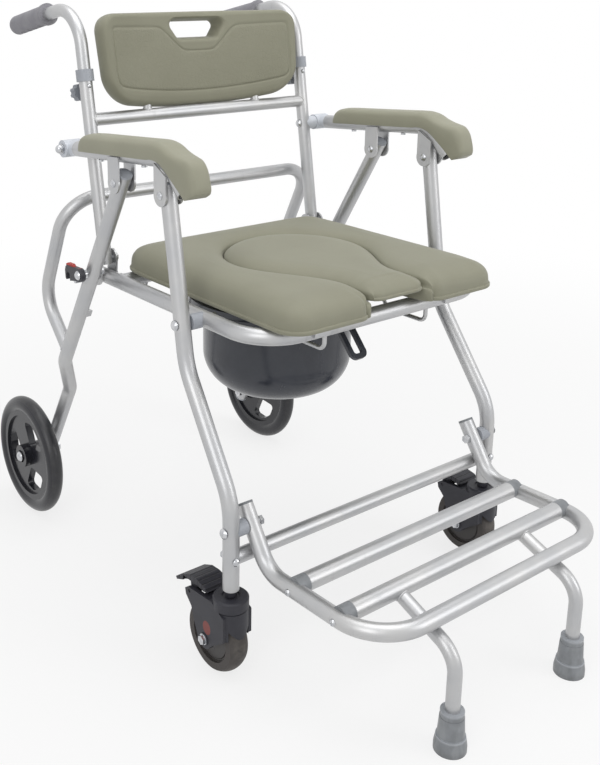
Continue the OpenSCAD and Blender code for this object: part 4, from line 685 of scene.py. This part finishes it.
# Pivots of the folding frame in side view: y and z
FRONT_PIN, SEAT_PIVOT = np.array([-49.0, 620.0]), np.array([-76.0, 455.0])
ARM_HINGE = np.array([203.0, 647.0])
BACK_PIVOT = ARM_HINGE - (FRONT_PIN - SEAT_PIVOT)
# Directions up and forward from the leaning back posts
lean_y, lean_z = (FRONT_PIN - SEAT_PIVOT) / np.linalg.norm(FRONT_PIN - SEAT_PIVOT)
LEAN, FORWARD = np.array([0, lean_y, lean_z]), np.array([0, -lean_z, lean_y])
# Middle of the cross bar under the backrest
BAR_Z = 684.0
BAR = np.array([0, BACK_PIVOT[0] + (BAR_Z - BACK_PIVOT[1]) * lean_y / lean_z, BAR_Z])
# Backrest: half width, height, thickness, how far its ends curve forward, its place over and behind the bar
BACK_HALF, BACK_H, BACK_T, BACK_SAG, BACK_BASE, BACK_SET = 186.0, 145.0, 32.0, 28.0, 8.5, 12.0
# How far its lower edge rises and its upper edge falls towards the ends
BACK_BOW, BACK_CROWN = 14.0, 4.0
# Corner radii at the top and the bottom, and how much narrower it is at the bottom on each side
BACK_TOP_R, BACK_LOW_R, BACK_TAPER = 30.0, 48.0, 6.0
# Hand hole: half widths at the top and the bottom, its lower and upper edge, and its corner radius
HOLE_TOP_HALF, HOLE_LOW_HALF, HOLE_LOW, HOLE_HIGH, HOLE_R = 52.5, 34.5, 106.5, 131.5, 7.0
# Grooved panel: half width, top, bottom, how far the bottom rises at a reach from the middle, and its corners
PANEL_HALF, PANEL_HIGH, PANEL_LOW, PANEL_BOW, PANEL_REACH, PANEL_R = 165.0, 129.0, 31.4, 10.6, 155.0, 6.0
# Dip of the panel round the hand hole: its bottom, half width there, slope of its sides, and its corners
DIP_LOW, DIP_HALF, DIP_SLOPE, DIP_R = 92.0, 30.0, 1.0875, 3.0
# Turns a distance across into one square to the dip's sides
DIP_SQUARE = 0.677
# Groove's depth and half width; how much fuller the panel is, and how far in it gets there
GROOVE_DEEP, GROOVE_HALF, PANEL_PUFF, PUFF_LEN = 1.2, 1.9, 0.9, 14.0
# Sections round the hand hole and round the edge: distance in, and share of the thickness from the middle
WALL = flow([(6, -0.5), (2, -0.46), (0.3, -0.36), (0, -0.22), (1.4, 0.04), (3, 0.26), (5, 0.42),
             (9, 0.5)], 24)
EDGE = flow([(15, 0.485), (6, 0.42), (1.5, 0.22), (0, -0.08), (1.5, -0.36), (3.6, -0.46), (8, -0.5)], 28)
# How far both are narrowed between the hole and the top, so that they fit there
TOP_FIT = 0.84 * (BACK_H - HOLE_HIGH) / (WALL[-1, 0] + EDGE[0, 0])
# Steps along the outlines' flats, bends and sides, over the front and behind
FLAT_STEPS, ARC_STEPS, SIDE_STEPS, FACE_STEPS, REAR_STEPS = 56, 22, 10, 92, 12
# Weight of a step over the front: everywhere, on the groove besides, and how far from it that reaches
STEP_EVEN, STEP_CLOSE, CLOSE_HALF = 0.4, 3.2, 4.5
# Width over which the panel's grain sets in
GRAIN_EDGE = 1.5


def half_outline(top_half, low_half, low, high, top_r, low_r):
    """Points and outward directions from the bottom middle up one side to the top middle."""
    tip = -math.atan2(top_half - low_half, high - low)
    out = np.array([math.cos(tip), math.sin(tip)])
    reach = out @ (top_half, high)
    up = np.array([(reach - top_r - out[1] * (high - top_r)) / out[0], high - top_r])
    down = np.array([(reach - low_r - out[1] * (low + low_r)) / out[0], low + low_r])

    def bend(centre, r, start, end):
        turns = [np.array([math.cos(a), math.sin(a)]) for a in np.linspace(start, end, ARC_STEPS)]
        return [(centre + r * turn, turn) for turn in turns]

    lower, upper = bend(down, low_r, -math.pi / 2, tip), bend(up, top_r, tip, math.pi / 2)
    floor = [(np.array([down[0] * t, low]), np.array([0, -1])) for t in np.linspace(0, 1, FLAT_STEPS)[:-1]]
    foot, head = lower[-1][0], upper[0][0]
    side = [(foot + (head - foot) * t, out) for t in np.linspace(0, 1, SIDE_STEPS)[1:-1]]
    roof = [(np.array([up[0] * t, high]), np.array([0, 1])) for t in np.linspace(1, 0, FLAT_STEPS)[1:]]
    return floor + lower + side + upper + roof


def full_outline(half):
    """The half outline and its mirror image as one loop."""
    return half + [(point * (-1, 1), out * (-1, 1)) for point, out in half[-2:0:-1]]


def back_rise(u, v):
    """Height of a point up the panel once its edges are bowed."""
    t = np.abs(u) / BACK_HALF
    return v + BACK_BOW * t ** 2.2 * (1 - v / BACK_H) - BACK_CROWN * t * t * v / BACK_H


def back_place(points, ahead):
    """Points of the backrest: across and up the panel, and ahead of its middle."""
    u, v = np.asarray(points, float).T
    ahead = np.asarray(ahead, float) - BACK_SET + BACK_SAG * (u / BACK_HALF) ** 2
    places = np.outer(BACK_BASE + back_rise(u, v), LEAN) + np.outer(ahead, FORWARD) + BAR
    places[:, 0] += u
    return places


def soft_least(values, round_r):
    """The least of some values, rounded where two of them meet."""
    values = np.array(values)
    low = values.min(axis=0)
    return low - round_r * np.log(np.exp(-(values - low) / round_r).sum(axis=0))


def panel_depth(u, v):
    """How far a point lies inside the grooved panel, which dips under the hand hole."""
    u, v = np.abs(u), BACK_BASE + back_rise(u, v)
    bottom = PANEL_LOW + PANEL_BOW * (u / PANEL_REACH) ** 2
    frame_edge = soft_least([PANEL_HALF - u, v - bottom], PANEL_R)
    dip = soft_least([v - DIP_LOW, (DIP_HALF + (v - DIP_LOW) * DIP_SLOPE - u) * DIP_SQUARE], DIP_R)
    return soft_least([frame_edge, PANEL_HIGH - v, -dip], DIP_R)


def back_ring(inner, outer):
    """One slice: through the hand hole, over the front to the edge, and back behind."""
    (i, i_out), (o, o_out) = inner, outer
    wall_fit, edge_fit = [1 - (1 - TOP_FIT) * ease(out[1]) for out in (i_out, o_out)]
    wall = [i + i_out * inset * wall_fit for inset, _ in WALL]
    edge = [o - o_out * inset * edge_fit for inset, _ in EDGE]
    # Points of the front lie closer together near the groove
    fine = np.linspace(0, 1, 600)
    depth = panel_depth(*(wall[-1] + np.outer(fine, edge[0] - wall[-1])).T)
    weight = np.cumsum(STEP_EVEN + STEP_CLOSE * np.exp(-(depth / CLOSE_HALF) ** 2))
    share = np.interp(np.linspace(weight[0], weight[-1], FACE_STEPS + 2)[1:-1], weight, fine)
    face = wall[-1] + np.outer(share, edge[0] - wall[-1])
    depth = panel_depth(*face.T)
    level = WALL[-1, 1] + (EDGE[0, 1] - WALL[-1, 1]) * share
    puff = PANEL_PUFF * (1 - np.exp(-np.clip(depth, 0, None) / PUFF_LEN))
    front = level * BACK_T + puff - GROOVE_DEEP * np.exp(-(depth / GROOVE_HALF) ** 2)
    behind = [edge[-1] + (wall[0] - edge[-1]) * t for t in np.linspace(0, 1, REAR_STEPS)[1:-1]]
    points = [*wall, *face, *edge, *behind]
    ahead = [*(WALL[:, 1] * BACK_T), *front, *(EDGE[:, 1] * BACK_T), *[-0.5 * BACK_T] * len(behind)]
    marks = [0.0] * len(wall) + [*np.clip(depth / GRAIN_EDGE, 0, 1)] + [0.0] * (len(edge) + len(behind))
    return back_place(points, ahead), marks


hole_edge = full_outline(half_outline(HOLE_TOP_HALF, HOLE_LOW_HALF, HOLE_LOW, HOLE_HIGH, HOLE_R, HOLE_R))
back_edge = full_outline(half_outline(BACK_HALF, BACK_HALF - BACK_TAPER, 0, BACK_H, BACK_TOP_R, BACK_LOW_R))
slices = [back_ring(i, o) for i, o in zip(hole_edge, back_edge)]
backrest_mesh = loft("backrest_skin", [ring for ring, _ in slices], True)
mark = backrest_mesh.attributes.new("panel", "FLOAT", "POINT")
mark.data.foreach_set("value", [value for _, marks in slices for value in marks])
backrest = piece("backrest_skin", backrest_mesh, "back", back_skin)
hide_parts("backrest_pad")


# Arm pads

# Slope of the arm tubes, and the directions up and forward from them in side view
ARM_RISE = math.radians(4)
ARM_UP = np.array([math.sin(ARM_RISE), math.cos(ARM_RISE)])
ARM_FORE = np.array([-math.cos(ARM_RISE), math.sin(ARM_RISE)])
# Tube: its place to the side, the corner where it turns down, its end, and the bend's radius
LEG_X, ARM_CORNER, ARM_END, ARM_BEND = 241.0, -46.0, np.array([-86.0, 626.0]), 45.0
# Pad: half width, and radius of the hollow round the tube
ARM_HALF, HOLLOW_R = 21.0, 12.6
# Steps over and under a section, and sections along the pad
OVER_STEPS, UNDER_STEPS, ARM_STEPS = 61, 25, 112


def arm_low(y):
    """Point of the straight tube's axis."""
    return np.array([y, ARM_HINGE[1] + (ARM_HINGE[0] - y) * math.tan(ARM_RISE)])


def arm_high(y, lift):
    """Point over the straight tube's axis, or over the line that goes on from it."""
    return arm_low(y) + ARM_UP * lift


# The tube's drooping end: its direction and its turn, and the directions square to the tube and to the end
droop = (ARM_END - arm_low(ARM_CORNER)) / np.linalg.norm(ARM_END - arm_low(ARM_CORNER))
droop_turn = math.acos(ARM_FORE @ droop)
droop_side = (droop - ARM_FORE * (ARM_FORE @ droop)) / math.sin(droop_turn)
droop_up = np.array([-droop[1], droop[0]]) * np.sign(-droop[1] * ARM_UP[0] + droop[0] * ARM_UP[1])


def arm_droop(length, lift):
    """Point over the tube's drooping end, at a length from its corner."""
    return arm_low(ARM_CORNER) + droop * length + droop_up * lift


def arm_curve(share, lift):
    """Point over the tube's front bend, at a share of its turn."""
    a = droop_turn * share
    start = arm_low(ARM_CORNER) - ARM_FORE * ARM_BEND * math.tan(droop_turn / 2)
    up = ARM_UP * math.cos(a) + ARM_FORE * math.sin(a)
    return start + ARM_FORE * ARM_BEND * math.sin(a) + droop_side * ARM_BEND * (1 - math.cos(a)) + up * lift


# Low edge, top, share of the full width, and how far the low edge lies off the tube's axis
ARM_STATIONS = [
    (arm_low(153), arm_high(150, 14), 0.72, 0),
    (arm_low(150), arm_high(146, 19), 0.86, 0),
    (arm_low(143), arm_high(137, 23.5), 0.97, 0),
    (arm_low(120), arm_high(118, 25), 1, 0),
    (arm_low(60), arm_high(58, 25), 1, 0),
    (arm_low(5), arm_high(2, 25), 1, 0),
    (arm_curve(0, 0), arm_high(-32, 25), 1, 0),
    (arm_curve(0.25, 2), arm_high(-46, 24), 1, 2),
    (arm_curve(0.5, 4.5), arm_high(-60, 20.3), 1, 4.5),
    (arm_curve(0.75, 7), arm_high(-72.5, 14), 0.99, 7),
    (arm_curve(1, 9), arm_high(-85, 9.6), 0.98, 9),
    (arm_droop(34, 10.5), arm_high(-97, 6.8), 0.95, 10.5),
    (arm_droop(45, 11.5), arm_high(-107.5, 3.6), 0.92, 11.5),
    (arm_droop(55, 12), arm_high(-115.5, -5), 0.88, 12),
    (arm_droop(63, 12.3), arm_high(-120, -19), 0.85, 12.3),
    (arm_droop(69, 12.3), arm_high(-121.5, -30), 0.82, 12.3),
    (arm_droop(71.5, 12.3), arm_high(-120, -36.5), 0.78, 12.3),
]
# Half of the pad's section from its low edge to the middle of its top, as shares of its half width and height
HALF_SLICE = [(1, 0.02), (1.02, 0.22), (1, 0.48), (0.9, 0.76), (0.66, 0.93), (0.34, 0.985), (0, 1)]
PAD_SLICE = HALF_SLICE + [(-x, z) for x, z in HALF_SLICE[-2::-1]]
SLICE_LOW = HALF_SLICE[0][1]


def arm_slice(low, high, share, lift):
    """Pad section over its tube, closed underneath by a hollow round the tube."""
    tall = np.linalg.norm(high - low)
    up, half = (high - low) / tall, ARM_HALF * share
    over = flow([(half * x, tall * z) for x, z in PAD_SLICE], OVER_STEPS)
    edge = math.asin(lift / HOLLOW_R)
    under = [(HOLLOW_R * math.cos(a), max(tall * SLICE_LOW, HOLLOW_R * math.sin(a) - lift))
             for a in np.linspace(math.pi - edge, edge, UNDER_STEPS)]
    return [(LEG_X + x, low[0] + up[0] * v, low[1] + up[1] * v) for x, v in [*over, *under]]


stations = np.array([np.hstack(station) for station in ARM_STATIONS])
arm_slices = [arm_slice(s[0:2], s[2:4], s[4], max(0.0, s[5])) for s in flow(stations, ARM_STEPS)]
for side, letter in ((-1, "r"), (1, "l")):
    mesh = loft("arm_pad_skin_" + letter, [np.array(s) * (side, 1, 1) for s in arm_slices])
    arm_pad = piece("arm_pad_skin_" + letter, mesh, "arms", arm_skin_painted_paler)
    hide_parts("arm_pad_" + letter)


# Screws and welds

class Maker(Graph):
    """A Geometry Nodes tree with named inputs that turns a mesh into a finished one."""

    def __init__(self, name, **inputs):
        super().__init__(bpy.data.node_groups.new(name, "GeometryNodeTree"))
        face = self.tree.interface
        face.new_socket("Geometry", in_out="OUTPUT", socket_type="NodeSocketGeometry")
        for label, kind in {"Geometry": "Geometry", "Finish": "Material", **inputs}.items():
            face.new_socket(label, in_out="INPUT", socket_type="NodeSocket" + kind)
        start = self.tree.nodes.new("NodeGroupInput")
        self.given = {socket.name: Value(self, socket) for socket in start.outputs if socket.name}

    def random(self, low, high):
        """A random number for each point, drawn with the given seed; 2 and 3 are the node's float sockets."""
        return self.node("FunctionNodeRandomValue", {"data_type": "FLOAT"},
                         {2: low, 3: high, "Seed": self.given["Seed"]}, 1)

    def close(self, geometry):
        """Ends the tree: instances made real, smooth and finished."""
        real = self.node("GeometryNodeRealizeInstances", None, {0: geometry})
        smooth = self.node("GeometryNodeSetShadeSmooth", None, {0: real})
        done = self.node("GeometryNodeSetMaterial", None,
                         {"Geometry": smooth, "Material": self.given["Finish"]})
        self.tree.links.new(done.socket, self.tree.nodes.new("NodeGroupOutput").inputs[0])
        return self

    def run(self, name, mesh, **values):
        """The plain mesh that the tree makes of another one."""
        holder = bpy.data.objects.new(name + "_path", mesh)
        scene.collection.objects.link(holder)
        step = holder.modifiers.new(name, "NODES")
        step.node_group = self.tree
        for item in self.tree.interface.items_tree:
            if item.in_out == "INPUT" and item.name in values:
                step[item.identifier] = values[item.name]
        worked_out = holder.evaluated_get(bpy.context.evaluated_depsgraph_get())
        made = bpy.data.meshes.new_from_object(worked_out)
        holder.modifiers.clear()
        bpy.data.objects.remove(holder)
        made.name = name
        return made


def screw_maker():
    """One head on every point, turned to its aim and spun at random."""
    maker = Maker("screw_heads", Head="Object", Seed="Int")
    head = maker.node("GeometryNodeObjectInfo", None, {"Object": maker.given["Head"]}, "Geometry")
    aim = maker.node("GeometryNodeInputNamedAttribute", {"data_type": "FLOAT_VECTOR"}, {"Name": "aim"})
    lie = maker.node("FunctionNodeAlignRotationToVector", {"axis": "Z"}, {"Vector": aim})
    twist = maker.node("FunctionNodeAxisAngleToRotation", None,
                       {"Axis": (0, 0, 1), "Angle": maker.random(0.0, math.pi)})
    turned = maker.node("FunctionNodeRotateRotation", {"rotation_space": "LOCAL"},
                        {"Rotation": lie, "Rotate By": twist})
    placed = maker.node("GeometryNodeInstanceOnPoints", None,
                        {"Points": maker.given["Geometry"], "Instance": head, "Rotation": turned})
    return maker.close(placed)


def weld_maker():
    """Overlapping drops of metal along a path."""
    maker = Maker("weld_beads", Bead="Float", Step="Float", Seed="Int")
    path = maker.node("GeometryNodeMeshToCurve", None, {"Mesh": maker.given["Geometry"]})
    spaced = maker.node("GeometryNodeResampleCurve", {"mode": "LENGTH"},
                        {"Curve": path, "Length": maker.given["Step"]})
    drop = maker.node("GeometryNodeMeshIcoSphere", None, {"Radius": maker.given["Bead"], "Subdivisions": 2})
    placed = maker.node("GeometryNodeInstanceOnPoints", None,
                        {"Points": spaced, "Instance": drop, "Scale": maker.random(0.85, 1.12)})
    return maker.close(placed)


# Screw head: radius, height, how far it sinks into the tube, and the powers that round its dome
HEAD_R, HEAD_H, HEAD_SINK, DOME_OUT, DOME_UP = 4.6, 2.7, 0.8, 2.8, 0.6
# Cross recess: half length, half width, depth, and the width of its sloping sides and ends
RECESS_LEN, RECESS_HALF, RECESS_DEEP, RECESS_SIDE, RECESS_END = 1.9, 0.5, 1.3, 0.2, 0.25
# Rings of its mesh, steps round each, and the share of its radius where they start
HEAD_RINGS, HEAD_STEPS, HEAD_CORE = 30, 72, 0.02


def recess(x, y):
    """1 in the cross recess, 0 outside it."""
    def bar(across, lengthways):
        return min(ease((RECESS_HALF - abs(across)) / RECESS_SIDE + 0.5),
                   ease((RECESS_LEN - abs(lengthways)) / RECESS_END + 0.5))
    return max(bar(x, y), bar(y, x))


def cross_head():
    """A domed screw head with a cross recess, its seat at the origin and its top towards +Z."""
    shell = bmesh.new()
    loops = []
    for share in np.linspace(HEAD_CORE, 1, HEAD_RINGS):
        dome = HEAD_H * (1 - share ** DOME_OUT) ** DOME_UP
        ring = arc((0, 0), share * HEAD_R, 0, 360, HEAD_STEPS + 1)[:-1]
        spots = [(x, y, dome - RECESS_DEEP * recess(x, y)) for x, y in ring]
        loops.append([shell.verts.new(np.array(spot) / 1000) for spot in spots])
    loops.append([shell.verts.new((v.co.x, v.co.y, -HEAD_SINK / 1000)) for v in loops[-1]])
    for one, two in zip(loops, loops[1:]):
        bridge(shell, one, two)
    for end in (loops[0], loops[-1]):
        shell.faces.new(end)
    return smooth_mesh(shell, "cross_head")


# Footrest tube: y and z of its axis at the back, y at the front, and its rise on the way
FOOT_BACK_Y, FOOT_BACK_Z, FOOT_FRONT_Y, FOOT_RISE = -225.347, 158.112, -421.0, 7.0
# Slats along it, the side of the tube that their screws sit on, and the seed of the screws' turns
REAR_SLAT, FRONT_SLAT, SCREW_X, SCREW_SEED = -274.0, -354.0, 225.0, 11


def foot_axis(y):
    """Height of the footrest tube's axis."""
    return FOOT_BACK_Z + FOOT_RISE * (FOOT_BACK_Y - y) / (FOOT_BACK_Y - FOOT_FRONT_Y)


def slat_screws():
    """A screw through each side of the footrest into each slat's end."""
    spots = [(side * SCREW_X, y, foot_axis(y)) for y in (REAR_SLAT, FRONT_SLAT) for side in (-1, 1)]
    mesh = bpy.data.meshes.new("slat_screw_spots")
    mesh.from_pydata(metres(spots), [], [])
    aims = mesh.attributes.new("aim", "FLOAT_VECTOR", "POINT")
    aims.data.foreach_set("vector", [c for x, _, _ in spots for c in (math.copysign(1, x), 0, 0)])
    head = bpy.data.objects.new("cross_head", cross_head())
    heads = screw_maker().run("slat_screws", mesh, Finish=bolt, Head=head, Seed=SCREW_SEED)
    bpy.data.objects.remove(head)
    piece("slat_screws", heads, "footrest", bolt)


# Tubes that are welded: places to the side, and radii
POST_X, STUB_X, RAIL_X, PROP_X = 205.0, 104.0, 205.0, 117.0
POST_R, BAR_R, STUB_R = 10.0, 9.5, 6.5
LEG_R, HOOP_R, RAIL_R, CROSS_R = 11.0, 10.0, 11.0, 10.0
PROP_R, SLAT_R = 9.0, 12.0
# Weld beads: radius and spacing in metres, seed of their sizes, and steps round a tube
BEAD_R, BEAD_STEP, WELD_SEED, SADDLE_STEPS = 0.0014, 0.0013, 5, 72


def saddle(start, aim, radius, on, line, other_radius):
    """Where a tube from start along aim meets the outside of another tube; a closed path.

    The other tube's axis goes through on, along line.
    """
    start, aim, on, line = [np.array(given, float) for given in (start, aim, on, line)]
    aim, line = aim / np.linalg.norm(aim), line / np.linalg.norm(line)
    one = np.cross(aim, line)
    one /= np.linalg.norm(one)
    two = np.cross(aim, one)
    cross_aim = aim - line * (aim @ line)
    path = []
    for turn in np.linspace(0, 2 * math.pi, SADDLE_STEPS, endpoint=False):
        side = start - on + radius * (math.cos(turn) * one + math.sin(turn) * two)
        flat = side - line * (side @ line)
        a, b, c = cross_aim @ cross_aim, cross_aim @ flat, flat @ flat - other_radius ** 2
        path.append(on + side + aim * ((-b + math.sqrt(max(0.0, b * b - a * c))) / a))
    return path


def weld(name, body, paths):
    """Beads along closed paths, as one piece."""
    points, edges = [], []
    for path in paths:
        first = len(points)
        points += [*metres(path)]
        edges += [(first + k, first + (k + 1) % len(path)) for k in range(len(path))]
    mesh = bpy.data.meshes.new(name + "_paths")
    mesh.from_pydata(points, edges, [])
    beads = welds.run(name, mesh, Finish=tube, Bead=BEAD_R, Step=BEAD_STEP, Seed=WELD_SEED)
    piece(name, beads, body, tube)


slat_screws()
welds = weld_maker()
RIGHT_LEFT = np.array([[-1.0, 0, 0], [1.0, 0, 0]])
ACROSS, LENGTHWAYS = (1, 0, 0), (0, 1, 0)

weld("back_welds", "back",
     [saddle(BAR + side * POST_X, -side, BAR_R, BAR + side * POST_X, LEAN, POST_R) for side in RIGHT_LEFT]
     + [saddle(BAR + side * STUB_X, LEAN, STUB_R, BAR, ACROSS, BAR_R) for side in RIGHT_LEFT])

# Rear legs run from the arm pin at the top down to the wheels; the hoop leaves them at its low end
REAR_RUN, REAR_FALL, REAR_PIN = 307.0, 518.0, np.array([0, 64.0, 618.0])
HOOP_LOW, HOOP_BEND = 326.0, np.array([0, 306.0, 398.0])
rear_up = np.array([0, -REAR_RUN, REAR_FALL]) / math.hypot(REAR_RUN, REAR_FALL)
hoop_end = np.array([0, REAR_PIN[1] + (REAR_PIN[2] - HOOP_LOW) * REAR_RUN / REAR_FALL, HOOP_LOW])
weld("hoop_welds", "rear_frame",
     [saddle(hoop_end + side * LEG_X, HOOP_BEND - hoop_end, HOOP_R, hoop_end + side * LEG_X, rear_up, LEG_R)
      for side in RIGHT_LEFT])

# Rear cross tube of the seat, between its side rails
CROSS = np.array([0, 138.0, 455.0])
weld("seat_welds", "seat",
     [saddle(CROSS + side * RAIL_X, -side, CROSS_R, CROSS + side * RAIL_X, LENGTHWAYS, RAIL_R)
      for side in RIGHT_LEFT])

# Prop legs start in the front slat and lean forward to a bend
PROP_REACH, PROP_BEND_Z, SLAT_LIFT = 95.0, 127.0, 4.0
prop_top = np.array([0, FRONT_SLAT, foot_axis(FRONT_SLAT)])
prop_aim = (0, -PROP_REACH, PROP_BEND_Z - prop_top[2])
weld("prop_welds", "footrest",
     [saddle(prop_top + side * PROP_X, prop_aim, PROP_R, prop_top + (0, 0, SLAT_LIFT), ACROSS, SLAT_R)
      for side in RIGHT_LEFT])


# Stage, light and camera

# Strength of the white room on the object, where 1 is white, and the share of white that the floor shows
ROOM_LIGHT, FLOOR_GLOW = 0.42, 0.78
# Floor: half its size, its tone, and the middle, start and end of the way over which it turns white
FLOOR_HALF, FLOOR_TONE, SHADE_MIDDLE, SHADE_NEAR, SHADE_FAR = 9, 0.86, (0, -0.05, 0), 0.5, 2.2
# Soft boxes: place, point that they face, width and height, all in metres, and power in watts
SOFT_BOXES = {
    "top_box": ((0.1, -0.1, 2.6), (0, 0, 0.4), 2.2, 2.2, 30),
    "left_box": ((-2.3, -1.2, 1.7), (0, 0, 0.5), 1.4, 1.8, 17),
    "right_box": ((1.4, -2.3, 1.5), (0, 0, 0.5), 1.2, 1.8, 17),
}
# Camera, fitted to the photo: place, direction, sensor width and lens in millimetres, and shifts
CAMERA_AT, CAMERA_AIM = (-0.9485, -1.1045, 0.8844), (0.575, 0.774, -0.264)
SENSOR, LENS, LENS_SHIFT = 36.0, 48.15, (0.1085, -0.1627)


def seen_rays(graph):
    """1 for rays that show the backdrop: from the camera, a reflection or a clear piece."""
    ports = graph.node("ShaderNodeLightPath").socket.node.outputs
    camera, glossy, clear = [Value(graph, ports[name])
                             for name in ("Is Camera Ray", "Is Glossy Ray", "Is Transmission Ray")]
    return camera.most(glossy).most(clear)


def stage_floor():
    """A pale floor that shows white far out, and near the object white with its shadow."""
    mesh = bpy.data.meshes.new("floor")
    corners = [(x * FLOOR_HALF, y * FLOOR_HALF, 0) for x, y in ((-1, -1), (1, -1), (1, 1), (-1, 1))]
    mesh.from_pydata(corners, [], [(0, 1, 2, 3)])
    made = bpy.data.objects.new("floor", mesh)
    scene.collection.objects.link(made)
    paint = Paint("pale_floor", base_color=(FLOOR_TONE, FLOOR_TONE, FLOOR_TONE, 1), roughness=0.9,
                  specular_ior_level=0.1)
    x, y, _ = paint.axes(SHADE_MIDDLE)
    clear = ((x * x + y * y) ** 0.5).rise(SHADE_NEAR, SHADE_FAR)
    white = seen_rays(paint) * (FLOOR_GLOW + clear * (1 - FLOOR_GLOW))
    glow = paint.node("ShaderNodeEmission", None, {"Color": (1, 1, 1, 1), "Strength": 1.0})
    body = Value(paint, paint.shader.outputs[0])
    mixed = paint.node("ShaderNodeMixShader", None, {0: white, 1: body, 2: glow})
    paint.tree.links.new(mixed.socket, paint.tree.nodes["Material Output"].inputs["Surface"])
    mesh.materials.append(paint.material)


def white_world():
    """White where it is seen, dimmer as a light."""
    world = bpy.data.worlds.new("white_room")
    world.use_nodes = True
    scene.world = world
    graph = Graph(world.node_tree)
    backdrop = graph.tree.nodes["Background"].inputs
    backdrop["Color"].default_value = (1, 1, 1, 1)
    graph.tree.links.new((ROOM_LIGHT + seen_rays(graph) * (1 - ROOM_LIGHT)).socket, backdrop["Strength"])


def soft_box(name, spot, aim, wide, tall, watts):
    """A broad lamp at a spot that faces a point."""
    lamp = bpy.data.lights.new(name, "AREA")
    lamp.shape = "RECTANGLE"
    lamp.size, lamp.size_y, lamp.energy = wide, tall, watts
    made = bpy.data.objects.new(name, lamp)
    made.location = spot
    made.rotation_euler = (Vector(aim) - Vector(spot)).to_track_quat("-Z", "Y").to_euler()
    scene.collection.objects.link(made)


def set_camera():
    """The photo's viewpoint, level with the horizon."""
    lens = bpy.data.cameras.new("camera")
    lens.sensor_width, lens.lens = SENSOR, LENS
    lens.shift_x, lens.shift_y = LENS_SHIFT
    made = bpy.data.objects.new("camera", lens)
    made.location = CAMERA_AT
    ahead = Vector(CAMERA_AIM).normalized()
    across = ahead.cross(Vector((0, 0, 1))).normalized()
    above = across.cross(ahead)
    made.rotation_euler = Matrix((across, above, -ahead)).transposed().to_euler()
    scene.collection.objects.link(made)
    scene.camera = made


stage_floor()
white_world()
for box_name, box in SOFT_BOXES.items():
    soft_box(box_name, *box)
set_camera()
